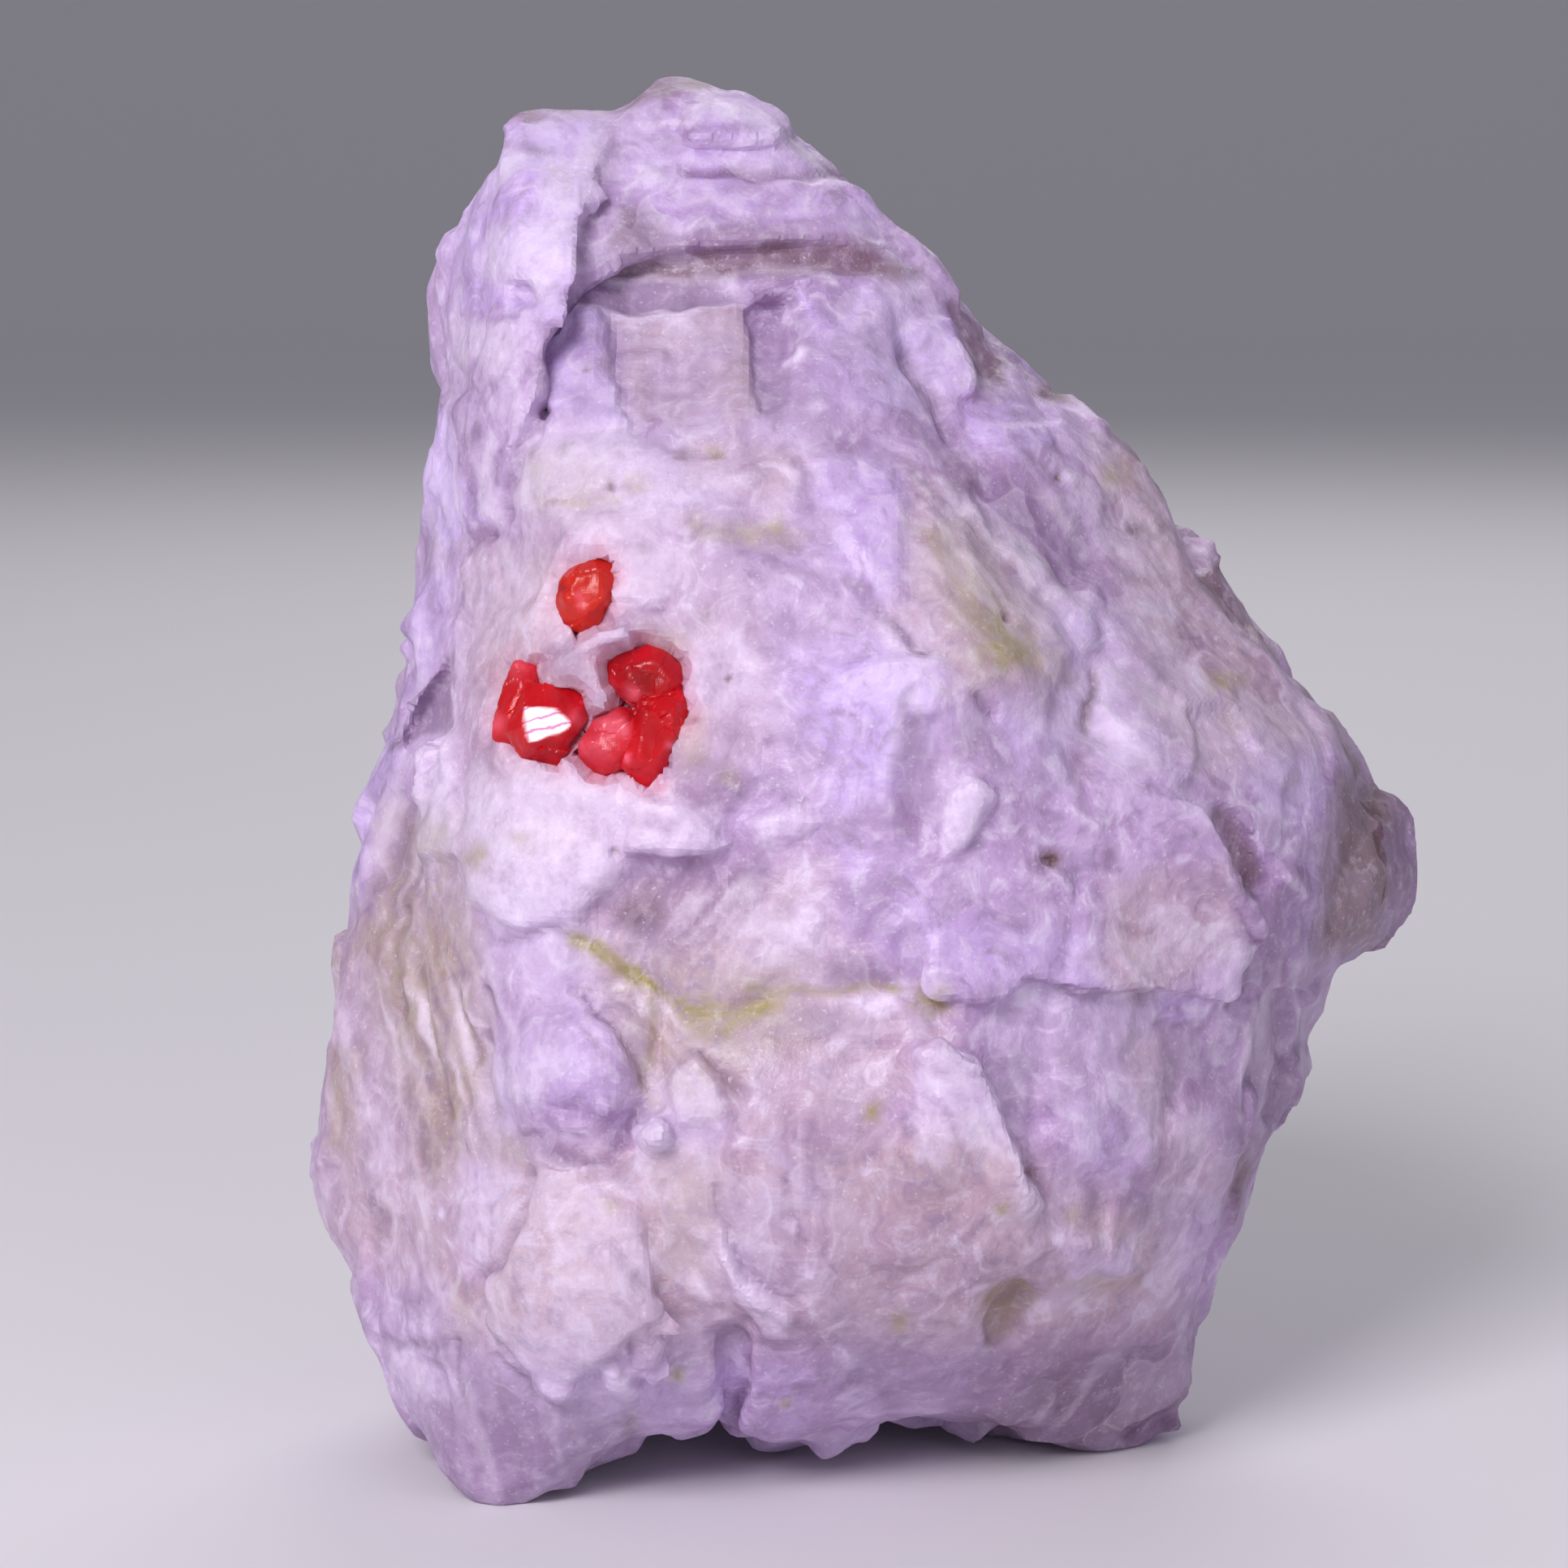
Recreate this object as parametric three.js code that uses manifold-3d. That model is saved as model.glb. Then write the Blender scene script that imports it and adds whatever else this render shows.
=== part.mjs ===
// Ruby on matrix: a broken block of white marble with three red ruby crystals set in its front.
//
// Millimetres, +Z up. The front faces -Y, and the origin is on the ground under the middle of
// the stone. The stone is drawn the way it looks from the front: a runs to the right, b runs up
// and w runs towards the viewer, in mm on the stone's middle plane. The last step, standInPlace,
// takes that drawing to real space, where near things are a little smaller than they look.

import * as THREE from 'three';
import { ConvexGeometry } from 'three/addons/geometries/ConvexGeometry.js';
import { ImprovedNoise } from 'three/addons/math/ImprovedNoise.js';
import { mergeVertices } from 'three/addons/utils/BufferGeometryUtils.js';
import Module from 'manifold-3d';

const wasm = await Module();
wasm.setup();

// Where the stone is seen from: eye distance, eye height and downward tilt of the view.
const VIEW_DISTANCE = 140;
const VIEW_HEIGHT = 22.6;
const VIEW_TILT = THREE.MathUtils.degToRad(8);

// Moves the stone so that its box is centred over the origin and its feet are cut at the ground.
const STAND_X = 2.49;
const STAND_Y = 4.84;
const GROUND_CUT = 1.2;

// Fit and build sizes.
const RUBY_GAP = 0.3;
const RUBY_DEPTH = 1.8;
const PLATE_ROOT = 2.5;
const CUT_REACH = 3;
const RIM_STEP = 1.15;
const FRONT_RINGS = 19;
const BACK_RINGS = 12;
const PATCH_RINGS = 3;
const RING_STEP = 6;
const RING_CROWDING = 1.25;
const MERGE_DISTANCE = 1e-5;

// The middle of the drawing. Every ring of the block is drawn around it.
const MIDDLE = { a: 0.9, b: 20.5 };

// Outline of the block with the depth w of its rim, from the top knob, down the left side,
// round the pointed foot and the arch between the feet, and up the right side.
const OUTLINE = [
  [-3.5, 45.0, -2.5], [-4.1, 44.9, -2.3], [-4.7, 44.1, -2.0], [-5.5, 43.6, -1.5],
  [-8.3, 43.8, -0.6], [-9.0, 43.4, -0.4], [-9.2, 42.1, -0.8], [-9.7, 41.2, -1.2],
  [-10.0, 39.9, -1.6], [-10.6, 38.3, -2.0], [-10.7, 37.4, -2.2], [-10.8, 36.1, -2.4],
  [-10.6, 34.9, -2.6], [-10.8, 33.6, -2.8], [-11.1, 31.9, -3.0], [-11.3, 30.4, -3.0],
  [-11.5, 28.5, -3.0], [-11.7, 27.2, -3.0], [-12.2, 24.8, -3.0], [-12.3, 24.0, -3.0],
  [-13.1, 22.1, -3.0], [-13.6, 20.9, -3.0], [-13.7, 19.7, -3.0], [-13.7, 18.3, -3.0],
  [-14.1, 17.0, -3.0], [-14.4, 15.1, -2.8], [-14.5, 13.9, -2.6], [-14.7, 12.6, -2.4],
  [-15.0, 11.3, -2.2], [-15.1, 10.3, -2.0], [-14.8, 9.4, -1.6], [-14.3, 8.1, -1.0],
  [-13.7, 6.9, -0.3], [-13.3, 6.2, 0.1], [-13.0, 5.0, 0.8], [-12.5, 3.7, 1.6],
  [-11.9, 2.7, 2.3], [-11.2, 1.8, 2.9], [-10.8, 1.0, 3.3], [-9.8, 0.1, 3.9],
  [-8.9, -0.4, 4.0], [-7.9, 0.1, 3.9], [-6.8, 1.0, 3.4], [-5.4, 2.0, 3.0],
  [-4.7, 2.2, 2.8], [-2.4, 2.4, 2.4], [-2.1, 3.0, 2.2], [-1.6, 2.1, 2.0],
  [-0.2, 1.9, 1.8], [1.6, 2.4, 1.2], [3.0, 3.0, 0.8], [4.8, 2.6, 0.2],
  [8.0, 2.0, -1.0], [10.3, 1.4, -2.0], [11.2, 1.6, -2.4], [11.8, 2.3, -2.6],
  [12.9, 3.4, -3.0], [13.2, 5.5, -3.4], [13.8, 7.8, -3.8], [15.1, 10.3, -4.0],
  [16.0, 12.8, -4.0], [16.6, 15.1, -4.0], [17.4, 16.8, -4.4], [18.7, 17.5, -5.0],
  [19.2, 18.4, -5.0], [19.6, 19.7, -5.0], [19.3, 21.5, -5.0], [18.4, 22.4, -4.8],
  [18.1, 23.4, -4.6], [17.2, 24.8, -4.4], [15.0, 27.2, -4.2], [13.1, 29.4, -4.0],
  [11.9, 32.2, -4.0], [10.8, 33.3, -4.0], [8.5, 34.9, -3.8], [7.4, 36.3, -3.6],
  [6.3, 37.1, -3.5], [5.4, 37.9, -3.4], [5.0, 38.7, -3.2], [3.4, 40.3, -3.0],
  [1.6, 42.1, -2.8], [0.2, 42.9, -2.7], [-0.4, 43.6, -2.6], [-2.4, 44.7, -2.5],
];

// Broken faces of the front and of the back: a point on each, and how far its depth w changes
// for each mm to the right and each mm up. The front is the nearest that lies behind them all.
const FRONT_FACES = {
  main: { a: 2.4, b: 25.1, w: 9.2, right: 0.12, up: -0.06 },
  upper: { a: -0.7, b: 33.5, w: 6.6, right: -0.05, up: -0.52 },
  rightSlope: { a: 11.0, b: 26.8, w: 5.4, right: -0.9, up: -0.77 },
  rightFront: { a: 8.5, b: 19.2, w: 8.8, right: -0.32, up: -0.03 },
  rightSide: { a: 15.0, b: 20.0, w: 6.0, right: -1.5, up: -0.1 },
  lowerRight: { a: 11.0, b: 11.6, w: 7.0, right: -0.58, up: 0.05 },
  rightOverhang: { a: 7.2, b: 3.9, w: 4.9, right: -0.9, up: 1.2 },
  underMiddle: { a: 0.9, b: 3.9, w: 8.0, right: -0.25, up: 0.9 },
  lowerLeft: { a: -9.6, b: 14.1, w: 7.0, right: 1.25, up: 0.05 },
  leftSide: { a: -10.5, b: 26.2, w: 4.9, right: 1.3, up: -0.3 },
  foot: { a: -8.8, b: 5.2, w: 8.2, right: 0.09, up: 0.73 },
};
const BACK_FACES = {
  broad: { a: 1.0, b: 20.0, w: -13.5, right: 0.1, up: 0.12 },
  top: { a: 0.0, b: 34.0, w: -10.0, right: 0.05, up: 0.75 },
  right: { a: 13.0, b: 22.0, w: -9.0, right: 1.1, up: -0.1 },
  left: { a: -10.0, b: 22.0, w: -9.0, right: -1.2, up: 0.1 },
  under: { a: 1.0, b: 7.0, w: -13.0, right: 0.0, up: -2.0 },
};
const FACE_BLEND = 0.45;
const RIM_ROUNDING = 4.5;
const LEAST_BULGE = 1;

// Rounded swellings of the front: place, height and reach.
const SWELLINGS = [
  { a: 2.6, b: 25.0, height: 0.8, reach: 3.4 },
  { a: -8.0, b: 20.4, height: 0.4, reach: 2.0 },
  { a: 10.2, b: 11.4, height: 0.5, reach: 2.6 },
  { a: 0.5, b: 33.6, height: 0.5, reach: 1.6 },
  { a: -0.6, b: 12.4, height: 0.4, reach: 2.2 },
  { a: 8.6, b: 32.6, height: 0.6, reach: 1.8 },
];

// Valleys and seams in the front: the line that each follows, its depth and half width.
const VALLEYS = [
  {
    path: [[4.2, 36], [5.6, 33.3], [6.2, 31.2], [7.4, 28.8], [9.3, 26.2], [9.8, 24]],
    depth: 1.1,
    reach: 0.9,
  },
  {
    path: [[-6.3, 17.7], [-4.5, 16.4], [-2.7, 15.1], [-0.9, 15.6], [1.1, 15.6], [4.6, 15.7]],
    depth: 0.7,
    reach: 0.6,
  },
  { path: [[18.3, 22.6], [17.7, 20.6], [17.2, 18.6], [17.6, 17.2]], depth: 1.5, reach: 0.6 },
  { path: [[-3.9, 14.8], [-4.2, 13], [-4.9, 11.6], [-6.6, 10.9]], depth: 0.5, reach: 0.5 },
  { path: [[-9.6, 16.8], [-9.4, 14], [-9.3, 11.8]], depth: 0.4, reach: 0.5 },
];

// Raised plates and flakes. Each corner has its lift over the face that carries it: a positive
// lift is a crisp step, and a negative one lets the plate run out into the stone.
const PLATES = {
  column: {
    corners: [
      [-5.3, 43.2, 0.3], [-8.3, 43.5, 0.3], [-8.9, 43.1, 0], [-9.1, 42.1, -0.2], [-9.6, 41.2, -0.2],
      [-9.9, 39.9, -0.2], [-10.5, 38.3, -0.2], [-10.6, 36.1, -0.2], [-10.6, 33.8, -0.3], [-10.9, 31.9, -0.4],
      [-10.4, 30.2, -0.4], [-9.3, 30.5, -0.2], [-8.8, 31.4, 0.3], [-8.3, 33.6, 0.7], [-7.8, 34.6, 1],
      [-7.5, 36.1, 1.2], [-7.1, 37.1, 1.4], [-6.4, 38.6, 1.6], [-6.4, 40.3, 1.2], [-5.9, 41.6, 0.8],
    ],
    middle: [-8.1, 37.5, 1.5],
  },
  topKnob: {
    corners: [
      [-3.0, 42.8, 0.6], [-2.9, 44.0, 0.2], [-1.5, 44.1, 0.1], [-0.5, 43.3, 0.1], [-0.3, 42.7, 0.5],
    ],
    middle: [-1.7, 43.2, 0.8],
  },
  overlap: {
    corners: [
      [3.9, 36.8, 0.1], [4.4, 37.2, 0.3], [5.0, 37.1, 0.5], [5.5, 36.2, 0.6], [5.8, 35.7, 0.6],
      [6.0, 34.8, 0.5], [5.6, 34.6, 0.3], [4.9, 34.9, 0.2], [4.4, 35.6, 0.2],
    ],
    middle: [5.0, 36.0, 0.5],
  },
  rightPlate: {
    corners: [
      [4.6, 16.7, 0.5], [5.3, 16.1, 0.7], [6.1, 15.8, 0.8], [6.8, 15.9, 0.8], [7.4, 16.3, 0.8],
      [9.8, 16.0, 0.9], [11.7, 16.1, 1], [14.0, 16.0, 1], [14.7, 17.3, 1.1], [14.8, 18.2, 1.2],
      [14.4, 19.2, 1.3], [14.0, 20.3, 1.3], [13.6, 21.3, 1.2], [13.3, 22.0, 1], [12.3, 22.3, 0.5],
      [11.0, 22.4, 0], [9.0, 22.5, -0.4], [6.0, 21.0, -0.4], [4.4, 19.0, -0.4],
    ],
    middle: [10.0, 19.0, 0.4],
  },
  arcPlate: {
    corners: [
      [3.9, 14.3, 0.3], [5.0, 14.1, 0.7], [6.0, 13.7, 0.8], [6.6, 12.8, 0.8], [7.0, 12.0, 0.8],
      [7.2, 11.0, 0.8], [7.5, 10.2, 0.7], [7.9, 9.2, 0.5], [7.9, 8.4, 0.1], [6.0, 7.6, -0.4],
      [3.0, 8.5, -0.4], [2.2, 11.0, -0.3], [2.8, 13.2, -0.2],
    ],
    middle: [5.2, 11.2, 0.5],
  },
  shell: {
    corners: [
      [-7.9, 10.1, 0.4], [-8.3, 9.4, 0.5], [-8.5, 8.5, 0.5], [-8.9, 7.6, 0.5], [-9.4, 7.3, 0.4],
      [-9.6, 5.8, 0.5], [-9.2, 4.9, 0.6], [-8.2, 4.0, 0.8], [-7.2, 3.2, 1], [-6.6, 3.7, 0.9],
      [-5.2, 4.2, 0.8], [-3.8, 4.3, 0.8], [-4.1, 5.4, 0.7], [-4.1, 6.5, 0.6], [-3.9, 8.0, 0.1],
      [-3.7, 9.4, -0.3], [-5.2, 10.8, -0.4],
    ],
    middle: [-6.4, 6.8, 0.9],
  },
  nub: {
    corners: [[-5.8, 4.3, 0.6], [-5.5, 3.5, 0.7], [-4.9, 3.2, 0.8], [-4.5, 3.5, 0.8], [-4.7, 4.4, 0.6]],
    middle: [-5.1, 3.9, 1],
  },
  lump: {
    corners: [
      [-9.4, 14.5, -0.2], [-9.3, 12.5, -0.1], [-8.6, 11.2, 0], [-7.0, 10.7, 0.2], [-5.6, 11.0, 0.4],
      [-4.8, 12.0, 0.4], [-4.3, 13.2, 0.4], [-4.1, 14.5, 0.3], [-4.6, 15.4, 0.1], [-6.2, 16.0, -0.1],
      [-8.2, 15.9, -0.2],
    ],
    middle: [-7.0, 13.4, 1.2],
  },
  bud: {
    corners: [[-4.7, 11.4, 0.1], [-4.3, 11.1, 0.1], [-3.6, 11.3, 0.2], [-3.6, 12.0, 0.3], [-4.1, 12.3, 0.3]],
    middle: [-4.1, 11.7, 0.8],
  },
  smallLedge: {
    corners: [
      [-5.1, 20.4, 0.5], [-4.0, 20.3, 0.5], [-2.5, 20.5, 0.4], [-1.5, 20.7, 0.2], [-1.8, 22.0, -0.2],
      [-3.4, 22.4, -0.3], [-4.9, 22.2, -0.2],
    ],
    middle: [-3.6, 21.3, 0.4],
  },
  brightChip: {
    corners: [
      [5.4, 20.2, 0.1], [6.0, 21.2, 0.3], [6.5, 22.2, 0.4], [6.1, 22.7, 0.4], [5.6, 22.5, 0.4],
      [5.0, 22.0, 0.3], [5.0, 20.8, 0.1],
    ],
    middle: [5.7, 21.7, 0.5],
  },
  rubyRidge: {
    corners: [
      [-7.2, 26.6, 0.1], [-6.6, 26.4, 0.3], [-5.5, 27.0, 0.4], [-4.8, 27.0, 0.3], [-4.7, 27.5, 0.4],
      [-5.6, 27.5, 0.3], [-6.6, 27.1, 0.2],
    ],
    middle: [-5.8, 27.0, 0.5],
  },
  sidePeak: {
    corners: [[15.1, 19.2, 0], [16.4, 19.0, 0], [16.3, 20.0, 0.1], [15.6, 20.2, 0.1]],
    middle: [15.8, 19.7, 0.6],
  },
};

// Hollows, clefts and steps down. Each corner has its depth under the face: a positive depth is
// a crisp wall, and a negative one lets the hollow run out.
const HOLLOWS = {
  hoodUnderside: {
    corners: [
      [-6.1, 38.6, 1.9], [-5.0, 39.3, 0], [-3.4, 39.5, 0], [0.0, 39.7, 0], [2.2, 39.6, 0],
      [3.9, 38.7, -0.2], [2.0, 38.6, 1.1], [-2.0, 38.6, 1.8],
    ],
    middle: [-1.4, 39.0, 1.1],
  },
  hoodCorner: {
    corners: [[-6.3, 38.4, 1.9], [1.2, 38.5, 1.2], [1.6, 38.9, 1], [-2.0, 38.8, 1.9], [-6.1, 38.7, 2]],
    middle: [-2.6, 38.6, 2],
  },
  upperLedge: {
    corners: [
      [-7.0, 37.2, 1.5], [-4.2, 37.3, 1.4], [-2.2, 37.6, 1.3], [-1.2, 37.7, 1.2], [0.2, 38.3, 0.8],
      [1.4, 38.7, 0.2], [-2.0, 38.6, 1.5], [-6.3, 38.5, 1.6], [-6.7, 38.1, 1.6],
    ],
    middle: [-3.6, 38.0, 1.5],
  },
  window: {
    corners: [
      [-7.1, 37.2, 1.1], [-7.6, 35.9, 1], [-7.7, 34.2, 0.8], [-7.0, 33.5, 0.2], [-5.0, 32.8, -0.2],
      [-2.0, 33.2, -0.2], [1.0, 34.8, -0.3], [3.2, 36.8, -0.3], [3.6, 38.4, -0.1], [1.2, 38.6, 0.3],
      [-1.2, 37.7, 0.9], [-3.5, 37.5, 1],
    ],
    middle: [-3.6, 36.3, 0.9],
  },
  windowSlot: {
    corners: [
      [-1.1, 37.6, 1.4], [-1.0, 36.5, 1.2], [-0.7, 34.2, 0.4], [0.0, 34.3, 0.2], [0.3, 36.0, 0.9],
      [0.1, 37.9, 1],
    ],
    middle: [-0.5, 36.5, 1.3],
  },
  columnSlot: {
    corners: [[-7.6, 34.0, 1.4], [-7.1, 34.1, 0.9], [-7.0, 36.4, 1.1], [-7.4, 36.9, 1.4]],
    middle: [-7.3, 35.3, 1.6],
  },
  leftStrip: {
    corners: [
      [-10.3, 30.2, 0.2], [-11.1, 30.0, -0.2], [-11.5, 27.0, 0], [-12.1, 24.5, 0.2], [-13.1, 21.6, 0.2],
      [-13.4, 19.6, 0], [-12.4, 18.8, 0], [-11.3, 19.2, 0.6], [-11.4, 20.6, 1.1], [-11.4, 22.0, 1.2],
      [-10.6, 23.4, 1.3], [-10.3, 25.0, 1.3], [-10.3, 27.0, 1.1], [-9.9, 28.6, 0.9], [-9.9, 29.6, 0.6],
    ],
    middle: [-11.2, 25.2, 0.9],
  },
  leftGap: {
    corners: [
      [-10.4, 26.8, 1.4], [-11.0, 25.8, 2], [-11.8, 24.6, 2], [-12.0, 23.8, 1.4], [-11.2, 23.4, 1.6],
      [-10.5, 23.6, 1.9], [-10.3, 24.8, 2.3], [-10.3, 26.0, 2.2],
    ],
    middle: [-11.0, 24.9, 2.4],
  },
  rightStep: {
    corners: [
      [15.2, 16.2, 0.5], [14.9, 14.5, 1], [14.6, 13.0, 1.2], [14.3, 11.5, 1.5], [14.1, 10.0, 1.3],
      [13.6, 8.6, 0.9], [13.2, 7.2, 0.3], [14.6, 8.0, 0.5], [16.4, 12.0, 1], [17.2, 15.6, 0.8],
    ],
    middle: [15.2, 12.6, 1.3],
  },
  plateShadow: {
    corners: [
      [13.5, 22.1, 0.4], [13.8, 20.8, 0.9], [14.3, 19.6, 1], [14.7, 18.7, 0.8], [15.2, 19.4, 0.2],
      [14.9, 20.6, 0.2], [14.2, 21.9, 0],
    ],
    middle: [14.4, 20.3, 0.9],
  },
  lumpHollow: {
    corners: [
      [-7.6, 12.7, -0.9], [-6.9, 11.8, -0.9], [-5.9, 11.6, -0.8], [-5.5, 12.4, -0.9],
      [-6.2, 13.1, -1.1],
    ],
    middle: [-6.4, 12.3, -0.3],
  },
  footCleft: {
    corners: [
      [-2.4, 1.6, 1.6], [-2.3, 3.4, 1.3], [-1.9, 5.4, 0.4], [-1.3, 5.3, 0.5], [-1.1, 3.6, 0.9],
      [-1.4, 1.6, 1.6],
    ],
    middle: [-1.8, 3.4, 1.3],
  },
  olivePit: {
    corners: [
      [6.3, 5.6, 0.1], [6.6, 4.9, 0], [7.5, 5.0, 0], [8.1, 5.8, 0], [8.0, 6.6, 0.2], [7.0, 6.6, 0.3],
    ],
    middle: [7.1, 5.9, 0.8],
  },
  smallDimple: {
    corners: [
      [-8.5, 38.4, -1.4], [-8.8, 37.9, -1.4], [-8.3, 37.5, -1.5], [-7.7, 37.8, -1.5],
      [-7.9, 38.4, -1.5],
    ],
    middle: [-8.2, 38.0, -0.8],
  },
};

// The third foot, low on the back and hidden from the front, and two more swellings behind.
const BACK_SWELLINGS = [
  { a: 1.6, b: 3.8, height: 8.4, reach: 2.6 },
  { a: -4.5, b: 27.0, height: 1.2, reach: 4.0 },
  { a: 8.0, b: 13.0, height: 1.0, reach: 3.2 },
];
const BACK_LIMIT = -15.6;

// The crystals. Each is a faceted body: the corners of its widest girdle, a smaller face in
// front of it, and how far the girdle and the face stand over the marble.
const RUBIES = {
  ruby_upper: {
    colour: 0xc93c3b,
    roughness: 0.35,
    bodies: [
      {
        girdle: [
          [-5.8, 29.7], [-5.4, 29.5], [-5.3, 29.1], [-5.5, 28.2], [-5.9, 27.6], [-6.4, 27.4],
          [-6.9, 27.6], [-7.15, 28.3], [-7.0, 29.0], [-6.5, 29.45],
        ],
        face: [[-5.8, 29.2], [-5.7, 28.4], [-6.3, 27.9], [-6.8, 28.4], [-6.5, 29.1]],
        girdleLift: 0.0,
        faceLift: 0.55,
      },
    ],
  },
  ruby_left: {
    colour: 0xd64c71,
    roughness: 0.15,
    bodies: [
      {
        girdle: [
          [-8.4, 26.4], [-7.8, 26.3], [-7.5, 25.3], [-7.7, 23.6], [-8.6, 23.9], [-9.1, 24.0],
          [-9.1, 24.5], [-8.7, 25.8],
        ],
        face: [[-8.2, 25.9], [-7.9, 25.8], [-8.0, 24.6], [-8.7, 24.6]],
        girdleLift: 0.0,
        faceLift: 0.5,
      },
      {
        girdle: [
          [-8.1, 25.7], [-6.7, 25.65], [-6.3, 25.4], [-6.25, 24.7], [-6.8, 23.7], [-7.1, 23.15],
          [-8.2, 23.4], [-8.6, 24.3],
        ],
        face: [[-8.15, 25.0], [-7.2, 24.95], [-6.7, 24.45], [-7.05, 24.15], [-8.05, 23.95]],
        girdleLift: 0.05,
        faceLift: 0.7,
      },
    ],
  },
  ruby_right: {
    colour: 0xc83742,
    roughness: 0.25,
    bodies: [
      {
        girdle: [
          [-5.55, 26.4], [-5.2, 26.6], [-4.3, 26.95], [-3.55, 26.6], [-3.25, 26.3], [-3.15, 25.3],
          [-4.2, 24.6], [-5.05, 25.3], [-5.45, 25.8],
        ],
        face: [[-4.9, 26.2], [-4.0, 26.4], [-3.6, 25.9], [-4.0, 25.3], [-4.8, 25.6]],
        girdleLift: 0.0,
        faceLift: 0.5,
      },
      {
        girdle: [
          [-5.9, 24.6], [-5.2, 25.05], [-4.5, 24.9], [-4.3, 24.0], [-4.7, 23.1], [-5.55, 22.85],
          [-6.0, 23.0], [-6.4, 23.5], [-6.4, 23.85],
        ],
        face: [[-5.6, 24.5], [-5.0, 24.6], [-4.8, 24.0], [-5.3, 23.4], [-5.9, 23.8]],
        girdleLift: 0.0,
        faceLift: 0.75,
      },
      {
        girdle: [
          [-4.5, 25.2], [-3.2, 25.5], [-3.0, 24.85], [-3.1, 24.3], [-3.65, 23.2], [-3.95, 22.6],
          [-4.3, 22.5], [-4.75, 22.75], [-5.1, 23.3],
        ],
        face: [[-4.3, 24.8], [-3.5, 24.8], [-3.5, 24.1], [-4.1, 23.2], [-4.6, 23.4]],
        girdleLift: 0.0,
        faceLift: 0.6,
      },
    ],
  },
};
const SOCKET_BASE = 0.55;

const noise = new ImprovedNoise();

// Roughness of the broken surface: broad waves and smaller lumps.
const ROUGH_LAYERS = [
  { height: 0.45, spacing: 4.6, layer: 0 },
  { height: 0.22, spacing: 1.9, layer: 7 },
];
const FRONT_LAYER = 0;
const BACK_LAYER = 20;
const BACK_ROUGHNESS = 2;

function roughness(a, b, side) {
  return ROUGH_LAYERS.reduce(
    (total, { height, spacing, layer }) =>
      total + height * noise.noise(a / spacing, b / spacing, side + layer),
    0,
  );
}

function faceDepth(face, a, b) {
  return face.w + face.right * (a - face.a) + face.up * (b - face.b);
}

// The least of the depths, with the edges between the faces a little rounded.
function roundedLeast(depths) {
  const sum = depths.reduce((total, depth) => total + Math.exp(-depth / FACE_BLEND), 0);
  return -FACE_BLEND * Math.log(sum);
}

function swellingHeight(swelling, a, b) {
  const distance = Math.hypot(a - swelling.a, b - swelling.b) / swelling.reach;
  return swelling.height * Math.exp(-distance * distance);
}

function distanceToPath(path, a, b) {
  let least = Infinity;
  for (let i = 1; i < path.length; i += 1) {
    const [startA, startB] = path[i - 1];
    const alongA = path[i][0] - startA;
    const alongB = path[i][1] - startB;
    const share = ((a - startA) * alongA + (b - startB) * alongB) / (alongA ** 2 + alongB ** 2);
    const held = THREE.MathUtils.clamp(share, 0, 1);
    least = Math.min(least, Math.hypot(a - startA - held * alongA, b - startB - held * alongB));
  }
  return least;
}

function valleyDepth(valley, a, b) {
  const distance = distanceToPath(valley.path, a, b) / valley.reach;
  return valley.depth * Math.exp(-distance * distance);
}

// Depth of the block's front and back at a place in the drawing, away from the rim.
function frontDepth(a, b) {
  const plain = roundedLeast(Object.values(FRONT_FACES).map((face) => faceDepth(face, a, b)));
  const raised = SWELLINGS.reduce((total, swelling) => total + swellingHeight(swelling, a, b), plain);
  const carved = VALLEYS.reduce((total, valley) => total - valleyDepth(valley, a, b), raised);
  return carved + roughness(a, b, FRONT_LAYER);
}

function backDepth(a, b) {
  const depths = Object.values(BACK_FACES).map((face) => -faceDepth(face, a, b));
  const wave = roughness(a, b, BACK_LAYER);
  const swollen = BACK_SWELLINGS.reduce(
    (total, swelling) => total - swellingHeight(swelling, a, b),
    BACK_ROUGHNESS * wave - roundedLeast(depths),
  );
  return Math.max(swollen, BACK_LIMIT + wave);
}

// How far a place lies from the middle to the outline, and the depth of the rim beyond it.
function reachToRim(a, b) {
  const outA = a - MIDDLE.a;
  const outB = b - MIDDLE.b;
  for (let i = 0; i < OUTLINE.length; i += 1) {
    const [startA, startB, startW] = OUTLINE[i];
    const [endA, endB, endW] = OUTLINE[(i + 1) % OUTLINE.length];
    const sideA = endA - startA;
    const sideB = endB - startB;
    const cross = outA * sideB - outB * sideA;
    const along = ((startA - MIDDLE.a) * outB - (startB - MIDDLE.b) * outA) / cross;
    const share = cross / ((startA - MIDDLE.a) * sideB - (startB - MIDDLE.b) * sideA);
    if (along >= 0 && along <= 1 && share > 0) {
      return { share: Math.min(share, 1), rimDepth: startW + along * (endW - startW) };
    }
  }
  return { share: 0, rimDepth: 0 };
}

function bulgeAt(share) {
  return (1 - share ** RIM_ROUNDING) ** (1 / RIM_ROUNDING);
}

// Depth of the block's front as it stands, rounded down to its rim.
function stoneDepth(a, b) {
  const { share, rimDepth } = reachToRim(a, b);
  return rimDepth + bulgeAt(share) * Math.max(frontDepth(a, b) - rimDepth, LEAST_BULGE);
}

// A closed skin over rings of points, each ring running anticlockwise as seen from the front
// and the rings running from front to back. A ring of one point closes an end.
function skinOver(rings) {
  const points = rings.flat();
  const faces = [];
  let start = 0;
  for (let r = 1; r < rings.length; r += 1) {
    joinRings(start, rings[r - 1].length, start + rings[r - 1].length, rings[r].length, faces);
    start += rings[r - 1].length;
  }
  const geometry = new THREE.BufferGeometry().setFromPoints(points);
  geometry.setIndex(faces);
  return geometry;
}

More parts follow.
